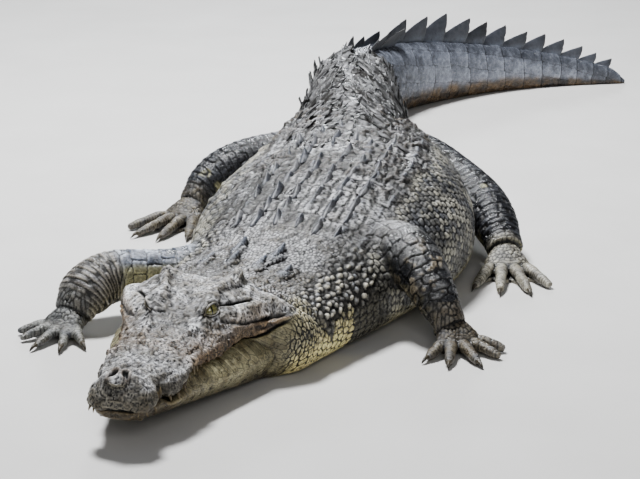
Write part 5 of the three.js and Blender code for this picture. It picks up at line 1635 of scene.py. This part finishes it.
rg0 = np.random.default_rng(7)
scutes = []
for row in range(11):                                   # the back
    for col_ in (-2.5, -1.5, -.5, .5, 1.5, 2.5):
        s_ = 985 + row * SCUTE + rg0.uniform(-7, 7) + (6 if col_ < 0 else 0)
        v_ = col_ * 58 * (.98 - .012 * row) + rg0.uniform(-4, 4)
        size = rg0.uniform(.75, 1.15) * (1 - .18 * (abs(col_) > 2))
        hidden = rg0.random() < .16 + .25 * (s_ > 1500)
        if not hidden:
            scutes.append(scute(s_, v_, 78 * size, 21 * size, (14 if abs(col_) < 2 else 19) * size, rg0.uniform(-.12, .12), 500 + len(scutes), False, .35 + .45 * rg0.random()))
for row in range(46):                                   # ragged leaves, thickening towards the tail
    s_row = 1420 + row * 36
    dense = float(smooth(1400, 1900, s_row))
    w_ = min(float(station[0](s_row)) * 1.02, 175)
    for col_ in range(-4, 5):
        v_ = (col_ + rg0.uniform(-.32, .32)) / 4.2 * w_
        s_ = s_row + rg0.uniform(-15, 15)
        if rg0.random() > .30 + .30 * dense or s_ > 3080:
            continue
        splay = math.copysign(.62 + min(abs(v_) / 105, 1.0) * .80, v_ + rg0.uniform(-40, 40))
        # positive turn swings the tip towards +W, the animal's left when looking along the tail
        scutes.append(scute(s_, v_, rg0.uniform(42, 92) * (.75 + .25 * dense) * (1 - .35 * (abs(v_) > .72 * w_)), rg0.uniform(28, 58) * (.8 + .5 * dense), rg0.uniform(8, 27) * (.4 + .7 * dense),
                            SPLAY * splay + rg0.uniform(-.35, .35), 900 + len(scutes), True, rg0.uniform(.0, .25) if rg0.random() < .42 else rg0.uniform(.6, 1.0)))
scutes = [x for x in scutes if x is not None]
sv_, sf_, sc_, su_ = gather(scutes)
side_n = int(math.ceil(math.sqrt(len(scutes))))
sc_uv = [(p_[3] * .9 + .05 + [i % side_n, i // side_n]) / side_n for i, p_ in enumerate(scutes)]
scm = uniform_mesh("scutes", sv_, sf_)
attribute(scm, "hide_colour", np.clip(sc_, 0, 1))
set_uv(scm, np.clip(np.vstack(sc_uv), 0, 1))
shade_smooth(scm)
scute_ob = link("scutes", scm)
SCUTE_MAT = plate_material("mud_caked_scute", (.40, .40, .40), (1.30, 1.30, 1.29), (.16, .52), 70)
scute_ob.data.materials.append(SCUTE_MAT)
print("scutes", len(scutes), len(sf_) * 2)

# the flaps' patches are laid out in a grid over the whole map: they are one object of their own
cols_ = 8
fl_uv, o = [], 0
for i, fpart_ in enumerate(flaps):
    u = fpart_[3]
    gx, gy = i % cols_, i // cols_
    fl_uv.append((u * .92 + .04 + [gx, gy]) / cols_)
fm = uniform_mesh("crest_flaps", fv, ff)
attribute(fm, "hide_colour", np.clip(fc_, 0, 1))
set_uv(fm, np.clip(np.vstack(fl_uv), 0, 1))
shade_smooth(fm)
crest = link("crest_flaps", fm)
crest.data.materials.append(FLAP)


# ------------------------------------------------------------------ teeth
def cone(root, tip, r0, bow, col0, col1, rows=12, k=14, oval=1.0, lengthwise=None):
    root, tip = np.asarray(root, float), np.asarray(tip, float)
    ax = tip - root
    ln = np.linalg.norm(ax); ax /= ln
    ref = np.array([0, 0, 1.0]) if abs(ax[2]) < .9 else np.array([1.0, 0, 0])
    if lengthwise is not None:
        ref = np.asarray(lengthwise, float)
    S = np.cross(ax, ref); S /= np.linalg.norm(S)
    U = np.cross(S, ax)
    a = np.linspace(0, 2 * math.pi, k, endpoint=False)
    R, C = [], []
    for i in range(rows):
        f = i / (rows - 1)
        r = max(r0 * (1 - f ** 1.5) ** .85, .18)
        ribs = 1 + .045 * np.cos(a * 7) * (1 - f)
        q = root + ax * ln * f + np.asarray(bow, float) * (4 * f * (1 - f))
        R.append(q + S * (np.cos(a) * r * ribs)[:, None] + U * (np.sin(a) * r * oval * ribs)[:, None])
        C.append(np.tile(col0 + (col1 - col0) * f, (k, 1)))
    return ring_mesh(np.array(R), np.array(C))


teeth = []
STAIN, IVORY = srgb(46, 38, 30), srgb(134, 121, 96)
for table_, upper in ((UPPER_TEETH, True), (LOWER_TEETH, False)):
    for t_, size in table_:
        lx, ly = (float(upper_lines[4 + 0](t_)), float(upper_lines[6](t_))) if upper else (float(lower_lines[0](t_)), float(lower_lines[1](t_)))
        if upper:
            lx = float(upper_lines[5](t_)) if len(upper_lines) > 6 else lx
        for sg in (1, -1):
            hgt = (4 + 6 * size)
            if upper:
                lean = .012
                root = head_point(t_, sg * (lx - .004), ly + .012, False)
                tip = head_point(t_ + .003, sg * (lx + .009), ly - (hgt + 5) / 600, False)
            else:
                root = head_point(t_, sg * (lx + .006), ly - .016, False)
                tip = head_point(t_ + .004, sg * (lx + .010), ly + (hgt + 3) / 600, False)
            bow = head_vector(.15, sg * 1.0, 0) * 1.6
            teeth.append(cone(root, tip, 3.0 + 2.0 * size, bow, STAIN, IVORY))
for x_, t_, up_ in ((.080, .013, .046),):
    for sg in (1, -1):
        teeth.append(cone(head_point(t_ + .014, sg * x_, up_ + .010, False), head_point(t_ + .004, sg * x_, up_ - .018, False), 3.4, head_vector(1, 0, 0) * 1.2, STAIN, IVORY))
tv, tf_, tc_, tu_ = gather(teeth)
tv[:, 2] = np.maximum(tv[:, 2], 1.0)
te_uv = [(p_[3] * .9 + .05 + [i % 8, i // 8]) / 8 for i, p_ in enumerate(teeth)]
tm = uniform_mesh("teeth", tv, tf_)
attribute(tm, "hide_colour", np.clip(tc_, 0, 1))
set_uv(tm, np.clip(np.vstack(te_uv), 0, 1))
shade_smooth(tm)
teeth_ob = link("teeth", tm)
teeth_ob.data.materials.append(ENAMEL)

# ------------------------------------------------------------------ claws, one object each
claw_obs = []
for name, spec in LEGS.items():
    digits, line, palm, wide = foot_plan(spec["hand"])
    fore, side = name.split("_")
    for i in range(3):
        root, d, ln, r = digits[i]
        tip = root + d * ln
        L_ = 32 if fore == "hind" else 28
        pts = [(-9, 10.0, 7.2), (0, 11.2, 7.0), (8, 11.6, 6.0), (16, 9.6, 4.5), (23, 6.2, 2.7), (L_, 2.8, .5)]
        pth = Path([(tip[0] + d[0] * a_, tip[1] + d[1] * a_, z_) for a_, z_, _ in pts], 60)
        rr = monotone([p_[0] for p_ in pts], [p_[2] for p_ in pts])
        R, C = [], []
        a = np.linspace(0, 2 * math.pi, 20, endpoint=False)
        for j in range(22):
            f = j / 21
            q = pth.point(f * pth.total); T = pth.tangent(min(max(f * pth.total, 1), pth.total - 1), 1.0)
            S = np.array([-T[1], T[0], 0]); S /= np.linalg.norm(S)
            U = np.cross(T, S)
            rad_ = float(rr(-9 + f * (L_ + 9)))
            flat_ = np.where(np.sin(a) < 0, .55, 1.0)
            q = q + S * (np.cos(a) * rad_ * .86)[:, None] + U * (np.sin(a) * rad_ * flat_)[:, None]
            q[:, 2] = np.maximum(q[:, 2], .6)
            R.append(q)
            C.append(np.tile(srgb(96, 88, 74) * (1 - f) + srgb(38, 34, 30) * f, (20, 1)))
        v_, f_, c_, u_ = ring_mesh(np.array(R), np.array(C))
        cm = uniform_mesh(f"claw_{fore}_{side}_{i + 1}_horn", v_, f_)
        attribute(cm, "hide_colour", np.clip(c_, 0, 1))
        set_uv(cm, u_ * .9 + .05)
        shade_smooth(cm)
        ob = link(cm.name, cm)
        ob.data.materials.append(HORN)
        claw_obs.append((ob, f"claw_{fore}_{side}_{i + 1}"))


# ------------------------------------------------------------------ eyes
def eye_material():
    m, t, b = material("eye_ball")
    co = node(t, "ShaderNodeAttribute", attribute_name="eye_place").outputs["Vector"]
    col = node(t, "ShaderNodeAttribute", attribute_name="hide_colour").outputs["Color"]
    n1 = noise_tex(t, co, 9, 5, .6)
    c = mix_rgb(t, "MULTIPLY", .8, col, ramp(t, n1, [(.30, .45), (.55, 1.0), (.72, 1.35)]))
    t.links.new(c, b.inputs["Base Color"])
    t.links.new(ramp(t, n1, [(.3, .06), (.7, .12)]), b.inputs["Roughness"])
    b.inputs["Specular IOR Level"].default_value = .7
    b.inputs["Coat Weight"].default_value = 1.0
    b.inputs["Coat Roughness"].default_value = .03
    return m


EYEBALL = eye_material()
eye_obs = []
for (C, g, k), node_name in zip(EYES, ("eye_left", "eye_right")):
    e1 = head_vector(.9, -.4 * k, 0); e1 = e1 - g * (e1 @ g); e1 /= np.linalg.norm(e1)
    e2 = np.cross(g, e1); e2 = e2 if e2[2] > 0 else -e2
    rows, cols = 90, 96
    al = np.linspace(0, math.pi * .94, rows)[:, None]
    be = np.linspace(0, 2 * math.pi, cols, endpoint=False)[None, :]
    bulge = 1 + .045 * np.exp(-(al / .42) ** 2) * (k > 0)
    R = EYE["r"] * (.985 if k > 0 else .86) * bulge
    pts = C + (R * np.cos(al))[..., None] * g + (R * np.sin(al) * np.cos(be))[..., None] * e1 + (R * np.sin(al) * np.sin(be))[..., None] * e2
    x = np.sin(al) * np.cos(be) + 0 * be
    y = np.sin(al) * np.sin(be) + 0 * be
    rr = np.hypot(x, y) + 0 * x
    iris, rim_c, sclera = srgb(146, 142, 86), srgb(70, 66, 42), srgb(42, 38, 32)
    streak = .82 + .36 * np.sin(be * 23 + 3 * np.sin(be * 5)) * .5 + 0 * x
    colr = iris[None, None, :] * (streak * (1 - .35 * smooth(.25, .62, rr)))[..., None]
    colr = colr + (rim_c - colr) * smooth(.66, .80, rr)[..., None]
    colr = colr + (sclera - colr) * smooth(.82, .90, rr)[..., None]
    pupil = 1 - smooth(.060, .095, np.abs(x) / np.clip(1 - (y / .58) ** 2, .02, 1) ** .5)
    pupil = pupil * (np.abs(y) < .58)
    colr = colr * (1 - .97 * pupil)[..., None]
    v_, f_, c_, u_ = ring_mesh(pts, colr)
    em = uniform_mesh(node_name + "_ball", v_, f_)
    attribute(em, "hide_colour", np.clip(c_, 0, 1))
    place = em.attributes.new("eye_place", "FLOAT_VECTOR", "POINT")
    place.data.foreach_set("vector", np.stack([x, y, 0 * x], -1).astype(np.float32).ravel())
    set_uv(em, u_ * .98 + .01)
    shade_smooth(em)
    ob = link(em.name, em)
    ob.data.materials.append(EYEBALL)
    eye_obs.append((ob, node_name))

# ------------------------------------------------------------------ what each piece stands for
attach(skin, "root")
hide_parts("head", "lower_jaw", "neck", "trunk", "tail_base", "tail_middle", "tail_end",
            "upper_arm_left", "upper_arm_right", "forearm_left", "forearm_right", "hand_left", "hand_right",
            "thigh_left", "thigh_right", "shank_left", "shank_right", "foot_left", "foot_right")
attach(crest, "root")
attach(scute_ob, "root")
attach(teeth_ob, "root")
for ob, nm in claw_obs:
    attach(ob, "root"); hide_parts(nm)
for ob, nm in eye_obs:
    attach(ob, "root"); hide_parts(nm)

# ------------------------------------------------------------------ floor, light and camera
bpy.ops.mesh.primitive_plane_add(size=60, location=(0, 0, -.0005))
floor = bpy.context.object
floor.name = "floor"
fmat, ft, fb = material("floor_pale")
fn_c = ft.nodes.new("ShaderNodeTexCoord").outputs["Object"]
ft.links.new(ramp(ft, noise_tex(ft, fn_c, 3.0, 4, .5), [(.3, (.60, .59, .575)), (.7, (.64, .63, .615))]), fb.inputs["Base Color"])
fb.inputs["Roughness"].default_value = .75
floor.data.materials.append(fmat)
floor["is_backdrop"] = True


def area(name, place, aim, size, watts, colour=(1, 1, 1)):
    l = bpy.data.lights.new(name, "AREA")
    l.shape, l.size, l.energy, l.color = "DISK", size, watts, colour
    ob = bpy.data.objects.new(name, l)
    bpy.context.scene.collection.objects.link(ob)
    ob.location = place
    d = np.array(aim, float) - np.array(place, float)
    ob.rotation_euler = (math.atan2(math.hypot(d[0], d[1]), -d[2]), 0, math.atan2(-d[0], d[1]))
    return ob


area("sky_key", (-1.5, .6, 5.7), (0, -.2, .1), 1.4, 660, (.97, .985, 1.0))
area("sky_back", (-2.5, 8.5, 3.6), (0, .2, .1), 1.3, 250, (.92, .96, 1.0))
area("front_fill", (2.5, -6.5, 3.2), (0, -1.0, .2), 3.0, 95, (1.0, .99, .97))
world = bpy.data.worlds.new("studio")
world.use_nodes = True
bg = world.node_tree.nodes["Background"]
bg.inputs[0].default_value = (.84, .87, .92, 1)
bg.inputs[1].default_value = .17
bpy.context.scene.world = world
bpy.context.scene.view_settings.view_transform = "AgX"
bpy.context.scene.view_settings.look = "AgX - Medium High Contrast"

cam = bpy.data.cameras.new("camera")
cam.lens, cam.sensor_width, cam.sensor_fit = 123.75, 36.0, "HORIZONTAL"
cam.clip_end = 100
cam_ob = bpy.data.objects.new("camera", cam)
bpy.context.scene.collection.objects.link(cam_ob)
cam_ob.location = (1.4973, -6.1857, 1.80)
cam_ob.rotation_euler = (math.radians(73.5), 0, math.radians(15))
bpy.context.scene.camera = cam_ob

VISUAL_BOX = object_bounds()
plain = lambda box: [[float(x) for x in corner] for corner in box]
{"cad": plain(CAD_BOX), "visual": plain(VISUAL_BOX)}
print("triangles skin", int((totals - 2).sum()), "boxes", CAD_BOX, VISUAL_BOX)
